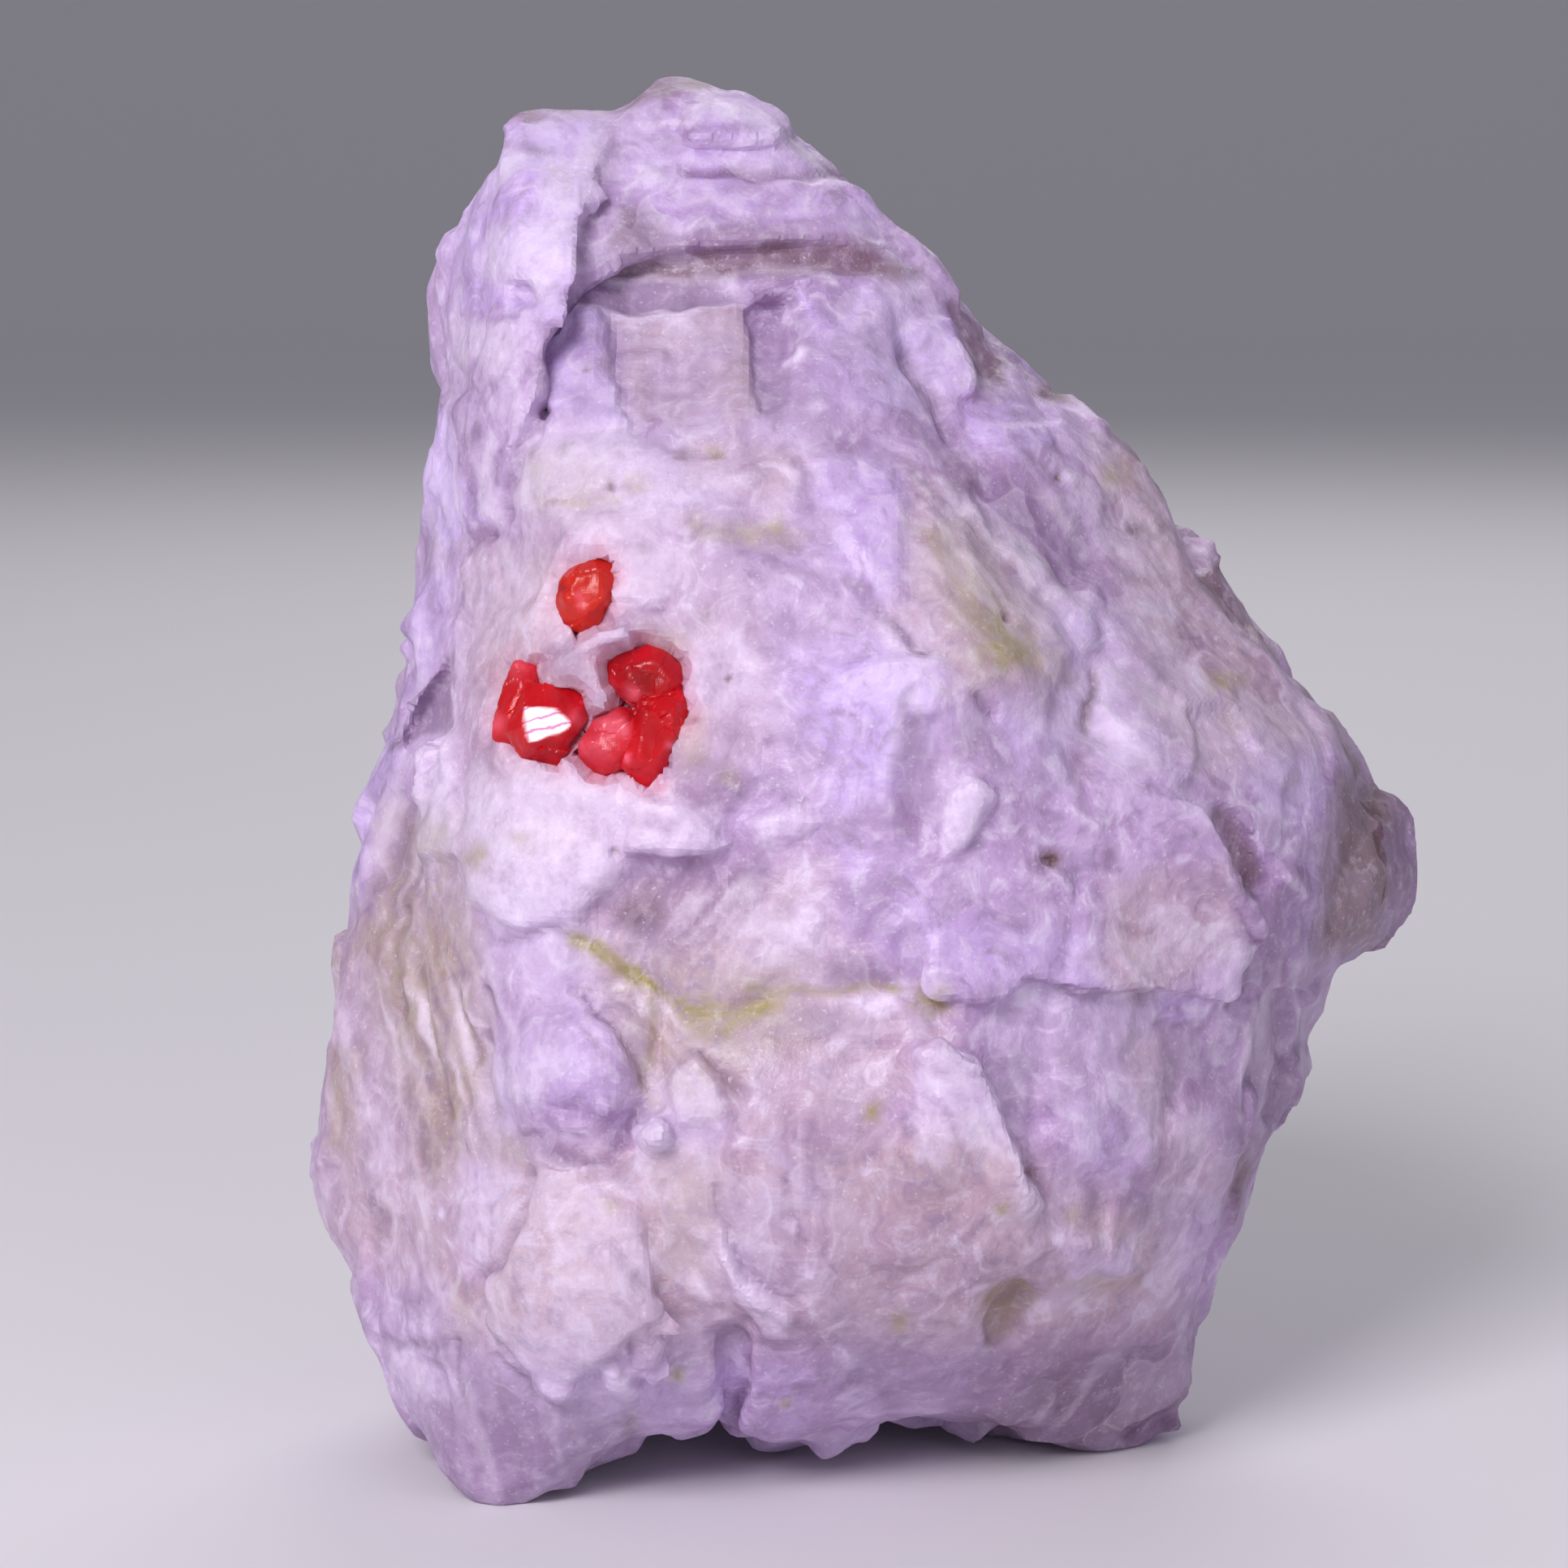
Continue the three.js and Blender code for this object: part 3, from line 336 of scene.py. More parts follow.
# Plates and hollows: lift, width of the edge and outline, then its rise along a and b if it leans.
PLATES = [
    (0.55, 0.5, [(-7.4, 37.3), (-5.9, 38.2), (-5.3, 37.6), (-5.7, 35.6), (-6.6, 34.0), (-7.6, 34.0)]),
    (0.2, 0.15, [(-7.2, 37.1), (-5.5, 37.2), (-5.35, 36), (-5.1, 34.8), (-4.8, 33.8), (-7.3, 33.8)]),
    (0.15, 0.15, [(-5.3, 37.3), (-1.2, 37.5), (-1.0, 36), (-0.8, 34.2), (-1.6, 33.2),
        (-4.6, 33.5)], 0.03, 0.0),
    (0.1, 0.3, [(0.2, 38.2), (2.8, 38.3), (3.6, 37), (3.3, 34.8), (1.6, 34.4), (0.7, 35),
        (0.2, 36)], 0.0, 0.04),
    (-0.12, 0.15, UNDER_HOOD),
    (0.14, 0.25, [(4, 37.2), (5.2, 37.1), (5.7, 36), (6, 35), (5.4, 34.6), (4.8, 34.6),
        (4.2, 35.8)], 0.04, -0.03),
    (-0.2, 0.4, [(5.2, 37.4), (6.2, 36.9), (7.2, 35.9), (6.9, 35.2), (6.1, 35.3), (5.8, 36.2)]),
    (0.18, 0.3, [(-9.0, 42.2), (-6.7, 42), (-6.9, 39), (-7.4, 38.4), (-9.8, 38.5), (-9.8, 40.2)]),
    (0.22, 0.2, [(-9.6, 37.2), (-8.2, 37.1), (-7.8, 36.2), (-8.6, 35.2), (-9.8, 35.0), (-10.3, 36)]),
    (-0.3, 0.4, [(6.2, 32.6), (7.4, 32.4), (9.4, 30.9), (10.2, 29.6), (9.2, 28.7), (7.4, 30), (6, 31.6)]),
    (0.16, 0.25, [(8.3, 32), (9.6, 32.2), (10.2, 31.6), (9.8, 30.7), (9, 30.5), (8.3, 31.2)]),
    (0.22, 0.3, [(0.8, 32.8), (3.2, 32.6), (3.8, 31.2), (3.6, 28.6), (2.8, 28.4), (2.2, 29.8), (1.4, 31)]),
    (0.2, 0.35, [(8.1, 27.9), (9.6, 28.1), (9.9, 27), (9.2, 26.3), (8.3, 26.3), (7.9, 27)]),
    (0.25, 0.5, [(-8.4, 33.2), (-4.6, 33.2), (-1.0, 32.2), (-2.6, 30.8), (-5, 30.4), (-8.6, 31)]),
    (-0.2, 0.35, [(-2.9, 30.9), (-0.4, 31), (0.8, 30.6), (0.4, 29.9), (-2.6, 29.9)]),
    (0.42, 0.22, LEFT_FLAKE, -0.06, 0.05),
    (0.2, 0.18, FLAKE_UNDER_RUBIES, 0.0, -0.06),
    (0.24, 0.3, [(-9.8, 22.8), (-5.4, 22.4), (-5.3, 19.6), (-6.3, 18.4), (-8.4, 18.1), (-9.8, 18.9)]),
    (-0.3, 0.35, [(-6.3, 19.2), (-4.6, 20.0), (-2, 20.1), (-2.6, 18.2), (-4.4, 17.2), (-6, 17.9)]),
    (0.3, 0.3, MIDDLE_FLAKE, 0.05, 0.0),
    (0.24, 0.22, MIDDLE_CHIP),
    (0.2, 0.2, UPRIGHT_FLAKE, 0.08, 0.0),
    (-0.25, 0.45, [(3.8, 24.8), (4.9, 24.6), (4.8, 22), (4.2, 20.6), (3.6, 22)]),
    (0.16, 0.4, [(9.2, 22.4), (9.8, 21.4), (9.2, 20.8), (8.6, 21.8)]),
    (-0.22, 0.3, [(9, 23.8), (9.9, 23.6), (9.6, 22.5), (9.0, 22.8)]),
    (0.22, 0.16, LEDGE_CHIP),
    (0.13, 0.25, [(4.3, 14.1), (5.9, 13.9), (6.6, 12.6), (7.3, 10.6), (8, 9.4), (7.4, 9),
        (5.4, 10.4)], 0.06, 0.0),
    (-0.22, 0.3, [(6.4, 13.8), (8.2, 13.6), (8.2, 10.2), (7.7, 10.2), (7.2, 11.6)]),
    (0.36, 0.45, [(-7.7, 12.8), (-6.2, 13.2), (-5.4, 12.4), (-5.8, 11.8), (-6.9, 11.9)]),
    (0.42, 0.4, [(-7.8, 11.3), (-6.4, 11.1), (-5.2, 11.4), (-4.8, 10.9), (-5.2, 10.3), (-7.6, 10.3)]),
    (0.1, 0.3, PLATE_OVER_LENS),
    (0.18, 0.2, [(-4.8, 11.6), (-4.2, 12.2), (-3.7, 12), (-3.5, 11.2), (-4.4, 10.8)]),
    (-0.15, 0.25, [(-4.6, 14.4), (-4.2, 13.2), (-3.9, 12.3), (-3.6, 12.6), (-3.9, 14.4)]),
    (0.2, 0.14, [(-3.7, 13.4), (-2.7, 14.2), (-1.7, 12.6), (-2.0, 12.2), (-3.2, 12)]),
    (0.24, 0.12, SHELL_PLATE),
    (0.2, 0.12, [(-4.6, 6.4), (-4.1, 6.2), (-3.9, 5), (-3.6, 4.3), (-4.7, 4.25)], 0.0, -0.08),
    (0.22, 0.12, CHIP_UNDER_SHELL),
    (0.3, 0.2, [(-2.1, 8.6), (-1.0, 6.9), (0.2, 6.2), (0.4, 5.2), (-0.6, 5.3), (-1.6, 6.4)]),
    (-0.3, 0.3, [(-2.4, 5.4), (-1.3, 5.6), (-1.2, 4.9), (-1.8, 4.4)]),
    (-0.5, 0.6, [(6.3, 6.2), (7.4, 6.9), (8.0, 6.5), (7.2, 5.6), (6.5, 4.8)]),
    (-0.2, 0.4, [(-3.2, 8.4), (-2.4, 7.9), (-2.5, 6.9), (-3.4, 7.2)]),
    (0.2, 0.3, [(8.3, 13.6), (11.6, 13.4), (11.4, 10.6), (9.2, 10.2), (8.3, 11.2)]),
    (-0.16, 0.3, [(12.1, 14.9), (14.6, 14.8), (14.2, 12.6), (12.2, 12.8)]),
    (0.22, 0.2, [(8.6, 8.4), (11.2, 8.2), (11.4, 7.4), (9, 7.0)]),
    (-0.3, 0.3, LEFT_HOLLOW),
]

# Cracks and grooves: the line, its half width and its depth.
# Along the cracks the deep tint is painted shade.
CRACKS = [
    ([(-5.4, 28.3), (-4.6, 28.1), (-3.9, 28.05)], 0.14, 0.25),
    ([(-7.4, 26.6), (-6.6, 27.35), (-5.8, 27.7), (-4.9, 27.7), (-4.55, 27.1)], 0.16, 0.3),
    ([(3.8, 36.1), (4.4, 35.3), (4.8, 34.4), (5.2, 33.4)], 0.22, 0.35),
    ([(-7.9, 10.3), (-8.25, 9.4), (-8.55, 8.2), (-8.9, 7.5), (-9.4, 7.2), (-9.5, 6.4)], 0.16, 0.4),
    ([(-7.9, 11.6), (-6.8, 10.9), (-5.6, 10.8), (-4.9, 11.5), (-4.4, 12.6)], 0.25, 0.12),
    ([(-6.5, 16.2), (-5.6, 15.3), (-4.8, 14.3), (-4.3, 13.4)], 0.16, 0.25),
    ([(-9.0, 17.5), (-8.2, 17.95), (-7.2, 18.0), (-6.2, 17.6)], 0.14, 0.2),
    ([(6.1, 25.4), (6.5, 24.8)], 0.18, 0.25),
    ([(11.9, 15.0), (13.4, 15.0)], 0.12, 0.22),
    ([(-1.25, 5.0), (-1.2, 4.0), (-1.5, 3.0), (-1.7, 2.4)], 0.14, 0.35),
    ([(-12.8, 5.2), (-11.2, 4.9), (-10.2, 5.2)], 0.16, 0.15),
    ([(2.0, 41.8), (0.4, 41.7), (-1.6, 41.8), (-3.2, 41.8)], 0.15, 0.25),
    ([(-1.1, 37.6), (-1.0, 36.2), (-0.75, 34.3)], 0.1, 0.2),
    ([(-5.4, 37.1), (-5.3, 35.8), (-5.0, 34.6), (-4.6, 33.6)], 0.1, 0.2),
    ([(-7.4, 36.9), (-7.5, 35.6), (-7.6, 34.2)], 0.2, 0.15),
    ([(0.15, 38.2), (0.2, 36.8), (0.4, 36.1)], 0.1, 0.15),
    ([(7.6, 16.4), (8.6, 16.15), (10.0, 16.0), (11.6, 16.0)], 0.14, 0.22),
    ([(-9.4, 16.0), (-9.45, 14.6), (-9.3, 13.2), (-9.1, 12.2)], 0.14, 0.3),
    ([(-12.0, 18.6), (-12.3, 17.2), (-12.0, 15.6)], 0.12, 0.2),
    ([(-11.7, 17.0), (-11.3, 15.0), (-10.8, 13.2), (-10.6, 12.2)], 0.12, 0.25),
    ([(-10.5, 16.6), (-10.0, 15.0), (-9.7, 13.8)], 0.1, 0.2),
    ([(-8.8, 31.0), (-8.4, 32.2), (-8.2, 33.2), (-7.6, 34.0)], 0.16, 0.3),
    ([(-10.0, 30.0), (-9.7, 30.3), (-9.2, 30.6)], 0.14, 0.2),
    ([(2.0, 29.0), (3.4, 27.8), (4.4, 26.9)], 0.2, 0.14),
    ([(-2.6, 14.2), (-1.8, 13.4), (-1.2, 12.8)], 0.12, 0.15),
    ([(0.2, 10.2), (0.3, 9.2), (0.8, 8.2)], 0.14, 0.14),
    ([(9.8, 26.2), (9.8, 25.4), (9.5, 24.6)], 0.16, 0.18),
    ([(-4.85, 5.0), (-4.8, 4.4)], 0.1, 0.2),
    ([(14.3, 18.6), (14.8, 17.4), (14.4, 16.2), (14.0, 15.6)], 0.12, 0.15),
    ([(15.2, 15.8), (14.9, 14.2), (14.5, 12.4)], 0.1, 0.25),
    ([(15.7, 14.4), (15.5, 13.2), (15.2, 12.2)], 0.12, 0.3),
    ([(-2.2, 9.8), (-1.9, 8.6), (-1.1, 7.2), (-0.2, 6.6)], 0.14, 0.22),
    ([(-10.3, 5.0), (-10.0, 4.0), (-10.1, 3.2)], 0.12, 0.15),
    ([(-8.9, 4.6), (-8.3, 3.9), (-7.6, 3.3)], 0.12, 0.2),
]

# Thin bright edges and fibres that stand a little proud: the line, its half width and its height.
# Along these edges the pale tint is painted highlight.
EDGES = [
    ([(-5.35, 34.8), (-5.0, 34.2), (-4.65, 33.55)], 0.14, 0.1),
    ([(5.0, 14.0), (6.0, 13.75), (6.6, 12.8), (7.1, 11.6), (7.4, 10.4), (7.9, 9.4)], 0.14, 0.15),
    ([(-1.9, 7.9), (-1.3, 7.1), (-0.4, 6.5)], 0.16, 0.1),
    ([(-12.0, 16.4), (-11.2, 14.6), (-10.6, 13.0)], 0.12, 0.1),
    ([(-10.3, 16.4), (-9.8, 15.4), (-9.5, 15.0)], 0.1, 0.1),
    ([(-6.0, 38.42), (-3.2, 38.4), (0.4, 38.65), (1.6, 38.3)], 0.12, 0.06),
    ([(-7.0, 37.15), (-4.4, 37.2), (-2.2, 37.5), (-1.2, 37.55)], 0.1, 0.06),
    ([(0.15, 37.4), (0.3, 36.3)], 0.1, 0.08),
    ([(-9.2, 19.3), (-8.7, 18.8), (-8.1, 18.3)], 0.1, 0.1),
    ([(10.2, 17.5), (10.8, 16.8), (11.4, 16.3)], 0.12, 0.1),
    ([(9.0, 21.8), (9.4, 21.5), (9.8, 21.2)], 0.14, 0.1),
    ([(8.35, 19.95), (8.7, 19.6), (8.85, 19.3)], 0.14, 0.2),
    ([(0.0, 35.85), (0.3, 35.95), (0.6, 36.2)], 0.12, 0.15),
    ([(-10.35, 25.6), (-10.25, 24.4), (-10.3, 23.0)], 0.12, 0.1),
    ([(5.0, 32.0), (5.9, 31.0), (6.4, 30.2), (7.0, 29.6), (7.8, 28.8)], 0.16, 0.12),
    ([(-6.3, 42.2), (-6.5, 40.6), (-6.7, 38.8)], 0.2, 0.12),
    ([(-4.9, 41.0), (-4.4, 41.7), (-4.0, 41.4)], 0.16, 0.1),
    ([(-4.2, 43.2), (-3.6, 43.4), (-3.0, 43.2), (-2.6, 43.6)], 0.14, 0.12),
    ([(5.2, 36.3), (5.6, 35.9), (5.9, 35.2)], 0.12, 0.1),
    ([(3.3, 39.0), (3.8, 38.6)], 0.14, 0.1),
    ([(-6.8, 17.4), (-7.0, 16.8)], 0.12, 0.08),
    ([(13.3, 15.8), (13.2, 15.2)], 0.1, 0.08),
    ([(-5.5, 28.3), (-4.4, 28.25), (-3.6, 28.6)], 0.14, 0.12),
    ([(-5.6, 27.2), (-5.0, 27.4), (-4.7, 27.0)], 0.18, 0.2),
    ([(4.7, 16.9), (5.0, 16.5), (5.3, 16.05)], 0.14, 0.1),
    ([(15.75, 19.7), (15.9, 19.4), (16.2, 19.15)], 0.1, 0.1),
    ([(-10.2, 9.4), (-9.6, 9.5)], 0.2, 0.08),
    ([(0.2, 8.9), (0.4, 8.6)], 0.14, 0.1),
    ([(0.5, 7.4), (0.8, 7.2)], 0.16, 0.12),
    ([(-1.0, 13.2), (-0.85, 12.9)], 0.12, 0.1),
    ([(10.0, 24.9), (10.6, 24.4), (11.0, 24.2)], 0.2, 0.1),
]

# Small pits: place, half width and depth.
PITS = [
    (8.45, 20.2, 0.22, 0.45), (6.85, 27.85, 0.16, 0.35), (8.65, 32.15, 0.16, 0.25),
    (-1.85, 25.95, 0.13, 0.2), (11.7, 16.15, 0.15, 0.2), (-8.05, 37.9, 0.35, 0.3), (7.9, 10.45, 0.2, 0.25),
    (-6.0, 35.2, 0.12, 0.15), (-4.45, 34.9, 0.12, 0.15), (-4.1, 11.9, 0.18, 0.15),
    (-5.35, 20.5, 0.12, 0.15), (-3.8, 20.0, 0.14, 0.15),
]

# Where the grain runs in streaks: middle, reach, angle, width of a streak and strength.
STREAKS = [
    (-1.0, 41.6, 3.6, 4, 0.3, 0.7),
    (-3.0, 35.6, 2.8, 88, 0.35, 0.5),
    (-6.2, 41.0, 1.2, 76, 0.25, 1.0),
    (-10.4, 31.6, 2.4, 97, 0.3, 0.8),
    (-12.6, 20.6, 2.6, 74, 0.35, 1.0),
    (-11.0, 14.4, 3.2, 106, 0.28, 1.3),
    (-13.0, 9.6, 2.6, 97, 0.3, 0.8),
    (-2.6, 18.4, 2.6, 50, 0.3, 1.2),
    (-5.0, 15.2, 1.8, 130, 0.25, 1.1),
    (1.0, 10.6, 2.4, 88, 0.4, 0.6),
    (6.8, 30.4, 3.4, 132, 0.32, 1.0),
    (12.6, 25.0, 3.0, 140, 0.4, 0.6),
    (3.4, 23.0, 2.4, 70, 0.35, 0.7),
    (10.6, 17.0, 1.8, 135, 0.3, 0.6),
    (6.0, 12.2, 2.2, 118, 0.3, 0.6),
    (-8.8, 2.4, 2.6, 102, 0.4, 0.6),
    (15.2, 14.8, 2.2, 80, 0.28, 1.1),
    (9.8, 2.8, 2.0, 60, 0.35, 0.8),
    (0.6, 28.2, 2.6, 150, 0.4, 0.6),
]

# Patches of tint: strength, softness and outline.
PATCHES = {
    # The violet tint is partly the stone's lilac and partly painted light, strongest on the upper left where
    # the lamp falls.
    "violet_and_lamp_light": [
        (0.7, 0.3, [(-9, 43.3), (-5.4, 43.4), (-6.1, 41.6), (-6.6, 39.6), (-7, 37.2), (-10.4, 37.4),
            (-10, 40)]),
        (0.4, 0.5, [(-4.8, 44), (-1, 44), (2.6, 41.2), (3.4, 40.2), (-4.6, 39.8), (-5.6, 41)]),
        (0.75, 0.2, [(-7.3, 37), (-5.5, 37.1), (-5.1, 34.8), (-4.8, 33.8), (-7.2, 34)]),
        (0.35, 0.4, [(-4.2, 36), (-2, 36.4), (-1.8, 33.4), (-4.2, 33.6)]),
        (0.65, 0.4, [(0.3, 38.2), (2.8, 38.2), (4.6, 36.8), (4.8, 35), (3.4, 34.2), (1, 34.6)]),
        (0.5, 0.2, [(4, 37.2), (5.2, 37.1), (5.7, 36), (6, 35), (5.2, 34.6), (4.2, 35.8)]),
        (0.6, 0.4, [(5.4, 34.5), (7.2, 34.7), (8.8, 34.3), (8.4, 33.2), (7.4, 32.8), (5.8, 33)]),
        (0.5, 0.6, [(0.6, 32.9), (3.4, 32.7), (4, 30.6), (3.8, 28.4), (2.4, 28.2), (1, 30.6)]),
        (0.9, 0.7, [(0.2, 26.6), (2.2, 27.3), (4.6, 26.2), (4.9, 24.2), (3.6, 22.4), (1.8, 21.8),
            (0.8, 24)]),
        (0.9, 0.4, [(8.1, 27.9), (9.6, 28.1), (9.9, 27), (9.2, 26.3), (8.4, 26.3), (8, 27)]),
        (0.85, 0.2, [(-11.4, 31), (-10.9, 34.2), (-10.2, 34.4), (-10, 32), (-9.2, 31.8), (-9.2, 31),
            (-10.6, 30)]),
        (0.8, 0.25, [(-13.8, 19.4), (-13.8, 21), (-12.8, 23.2), (-12.2, 24.8), (-12.0, 23.6), (-13, 21),
            (-13, 18.6)]),
        (0.5, 0.4, [(-12.2, 25), (-11.4, 29), (-10.2, 29.8), (-10.2, 27.2), (-11.4, 25.6)]),
        (0.35, 0.4, [(-9.3, 14.4), (-6.2, 15.8), (-4.6, 14), (-5, 12.4), (-8.6, 12.6)]),
        (0.45, 0.6, [(1.6, 20.6), (3.8, 20.6), (4.6, 18.4), (9.4, 18), (10, 16.2), (5.6, 16), (2, 18)]),
        (0.4, 0.6, [(6.6, 25.4), (9.4, 25), (8.6, 22.6), (6.8, 22.4)]),
        (0.6, 0.25, [(-2.4, 3.6), (-1.6, 4.8), (-1.2, 4.4), (-1.4, 2.9), (-2.2, 3)]),
        (0.25, 0.6, [(-4.4, 4), (-2.4, 3.8), (-2.4, 2.4), (-5, 2.4)]),
        (0.25, 0.4, [(-1.4, 4.2), (0.6, 4.4), (0.8, 2.2), (-1.4, 2)]),
        (0.4, 0.3, [(8.6, 8.4), (10.8, 8.2), (11, 7.4), (8.8, 7.0)]),
        (0.3, 0.5, [(9.2, 12.4), (11.2, 12.2), (11.4, 10.4), (9.4, 10.2)]),
        (0.3, 0.4, [(4, 14.4), (5.4, 14), (6.6, 12.2), (5.2, 12.4), (4, 13)]),
        (0.45, 0.2, [(12, 16), (13.2, 16), (13.2, 15.1), (12, 15)]),
        (0.5, 0.6, [(14.6, 24), (17.4, 23), (17.4, 20.4), (15, 21.6)]),
        (0.2, 0.5, [(12, 5.6), (10.2, 5.6), (9.6, 3.4), (8, 2.4), (10.4, 2)]),
        (0.5, 0.2, [(16.0, 21.4), (15.6, 18.4), (16, 16.4), (16.6, 17), (17, 19.6)]),
    ],
    # The pale tint is partly the stone's whitish bruises and fibres and partly painted highlight on edges
    # that catch the light.
    "pale_and_highlight": [
        (0.7, 0.35, [(-7.4, 42.4), (-6.4, 42), (-6.7, 39.4), (-7.2, 37.5), (-9.4, 38.4), (-9.2, 39.8),
            (-7.6, 40.4)]),
        (0.75, 0.3, [(-10.4, 37.2), (-8.2, 36.9), (-7.9, 35.8), (-8.4, 35), (-9.6, 36), (-10.3, 35.2)]),
        (0.5, 0.4, [(-9, 42.4), (-8, 42.2), (-8.2, 41.2), (-9.4, 41.4)]),
        (0.6, 0.2, [(-9.4, 33.4), (-8.9, 33.2), (-9, 31), (-9.4, 31)]),
        (0.55, 0.6, [(-8.2, 33.8), (-4.8, 33.4), (-3, 32.2), (-1, 32.2), (-3, 30.8), (-5.4, 30.2),
            (-8.8, 31.2)]),
        (0.5, 0.5, [(-5.4, 30), (-3.6, 30.2), (-2.8, 29), (-4.4, 28.6), (-5.2, 29)]),
        (0.45, 0.5, [(-9.9, 29.8), (-8, 30), (-8, 27.4), (-9.4, 26.6), (-10, 27.4)]),
        (0.85, 0.25, LEFT_FLAKE),
        (0.75, 0.5, [(-9.8, 22.8), (-7, 23), (-3.4, 22.4), (-1.8, 20.8), (-5, 20.4), (-5.3, 19.6),
            (-6.4, 18.5), (-8.4, 18.1), (-9.8, 18.9)]),
        (0.55, 0.12, FLAKE_UNDER_RUBIES),
        (0.5, 0.4, [(-3, 27.2), (-1, 27), (-1, 25.4), (-2.6, 24.8), (-3.1, 25.6)]),
        (0.7, 0.25, MIDDLE_FLAKE),
        (0.7, 0.25, MIDDLE_CHIP),
        (0.85, 0.14, UPRIGHT_FLAKE),
        (0.9, 0.12, LEDGE_CHIP),
        (0.5, 0.3, [(4.2, 14.2), (5.9, 13.9), (6.6, 12.6), (7.3, 10.6), (5.8, 11.4), (4.4, 12.4)]),
        (0.6, 0.3, [(4.1, 12.2), (5, 12), (4.9, 10.6), (4.3, 11)]),
        (0.6, 0.4, PLATE_OVER_LENS),
        (0.8, 0.15, [(-4.8, 11.6), (-4.2, 12.3), (-3.7, 12), (-3.5, 11.2), (-4.4, 10.8)]),
        (0.7, 0.2, [(-3.7, 13.4), (-2.7, 14.0), (-1.7, 12.5), (-2.0, 12.2), (-3.2, 12)]),
        (0.35, 0.3, SHELL_PLATE),
        (0.5, 0.3, [(-10, 10.2), (-8.4, 10.2), (-8.8, 8.2), (-9.4, 7.4), (-10.4, 8.4)]),
        (0.4, 0.4, [(-7.6, 10.8), (-4.6, 10.7), (-3, 10), (-4, 9.4), (-7, 9.6)]),
        (0.7, 0.14, CHIP_UNDER_SHELL),
        (0.6, 0.2, [(-2.1, 8.4), (-1.0, 6.9), (0.2, 6.2), (0.2, 5.4), (-0.8, 5.6), (-1.6, 6.6)]),
        (0.45, 0.4, [(-12.6, 5), (-11.2, 4.4), (-10.4, 3.4), (-11.8, 3.2)]),
        (0.35, 0.5, [(-1.6, 14.2), (-0.2, 14.2), (-0.4, 12.2), (-1.4, 12.6)]),
        (0.3, 0.6, [(1, 14.2), (2.6, 14.4), (2.4, 12.2), (0.8, 12.4)]),
        (0.4, 0.6, [(9, 32.2), (10, 31.8), (9.9, 30.6), (9, 30.4), (8.4, 31.2)]),
        (0.4, 0.3, [(9.4, 30.7), (10.3, 30.4), (10.4, 29.8), (9.8, 29.9)]),
        (0.5, 0.3, [(11.2, 28.5), (12.2, 28.3), (12.4, 27.8), (11.2, 27.7)]),
        (0.45, 0.3, [(11, 19), (12.6, 18.8), (12.4, 18.1), (11.2, 18.2)]),
        (0.4, 0.3, [(12.4, 22.3), (13.6, 22), (14, 20.8), (13, 21.2)]),
        (0.4, 0.4, [(12, 12.2), (13.4, 12), (13, 10.8), (12.2, 11)]),
        (0.35, 0.5, [(3.9, 18.4), (5.2, 17.2), (5, 16.4), (3.6, 17.4)]),
        (0.4, 0.5, [(7.2, 25), (9.4, 24.8), (9.2, 24), (7.6, 24)]),
        (0.5, 0.3, [(-6.6, 42.9), (-5.6, 43.2), (-5.6, 42), (-6.3, 41.8)]),
    ],
    "warm": [
        (0.6, 1.2, [(-10, 30), (-4, 31), (-1, 29), (-0.6, 24), (-3, 21), (-9.6, 19), (-10.2, 25)]),
        (0.7, 1.0, [(-6.2, 19.4), (1.2, 20.4), (2.4, 17), (5.4, 16), (5.2, 13), (-1, 11), (-4.4, 14),
            (-6, 17.4)]),
        (0.6, 1.0, [(-14.6, 18), (-10, 18.6), (-9.4, 11), (-10, 6), (-14.8, 8)]),
        (0.7, 1.2, [(-9, 11), (6, 12), (12, 9), (12, 5), (-2, 5), (-10, 5)]),
        (0.7, 0.8, [(9.6, 33.4), (11.4, 33), (13, 29.6), (17.4, 24), (13.6, 22.8), (11.4, 25),
            (10.6, 29)]),
        (0.7, 0.5, [(10, 19.6), (13.8, 20.2), (14.6, 17.4), (11, 15.6), (10, 17)]),
        (0.5, 0.8, [(10.6, 15), (12.4, 14.6), (13.8, 10), (12, 9), (10.6, 11)]),
        (0.6, 0.5, [(-3.4, 37), (-1.6, 36), (-1.2, 33.4), (1, 33), (0, 31), (-3, 31.8)]),
        (0.7, 0.2, [(-5.3, 37.4), (-1.2, 37.6), (-1.0, 36), (-0.8, 34.2), (-1.6, 33.4), (-4.4, 33.8),
            (-5, 35)]),
        (0.6, 0.5, [(4, 32.8), (5.8, 31.4), (7, 29), (9.2, 26), (6, 25.6), (3, 28), (4, 30)]),
        (0.4, 0.6, [(-1.6, 41.9), (1.8, 41.9), (1.6, 41.3), (-1.2, 41.1)]),
    ],
    "olive": [
        (0.4, 0.5, [(4.2, 30.8), (5.4, 30.6), (6, 29.4), (7, 28.2), (8.4, 26.4), (7.4, 26), (6.2, 26.2),
            (5.2, 27.8), (4.8, 29.4)]),
        (0.55, 0.3, [(5.4, 28.4), (6.6, 28.2), (7.2, 27.2), (8, 26.2), (6.6, 26.2), (6, 27.2)]),
        (0.25, 0.8, [(-8, 33), (-5.4, 32.6), (-5.2, 31), (-7.8, 30.8)]),
        (0.35, 0.4, [(-3.2, 30.8), (-1.2, 31), (0.6, 30.4), (0.2, 30), (-2.6, 30.2)]),
        (0.3, 0.3, [(-3.2, 25), (-2.5, 25), (-2.4, 23.2), (-3.1, 23)]),
        (0.35, 0.3, [(-4.6, 27.7), (-3.2, 27.4), (-3.1, 26.8), (-4.2, 26.9)]),
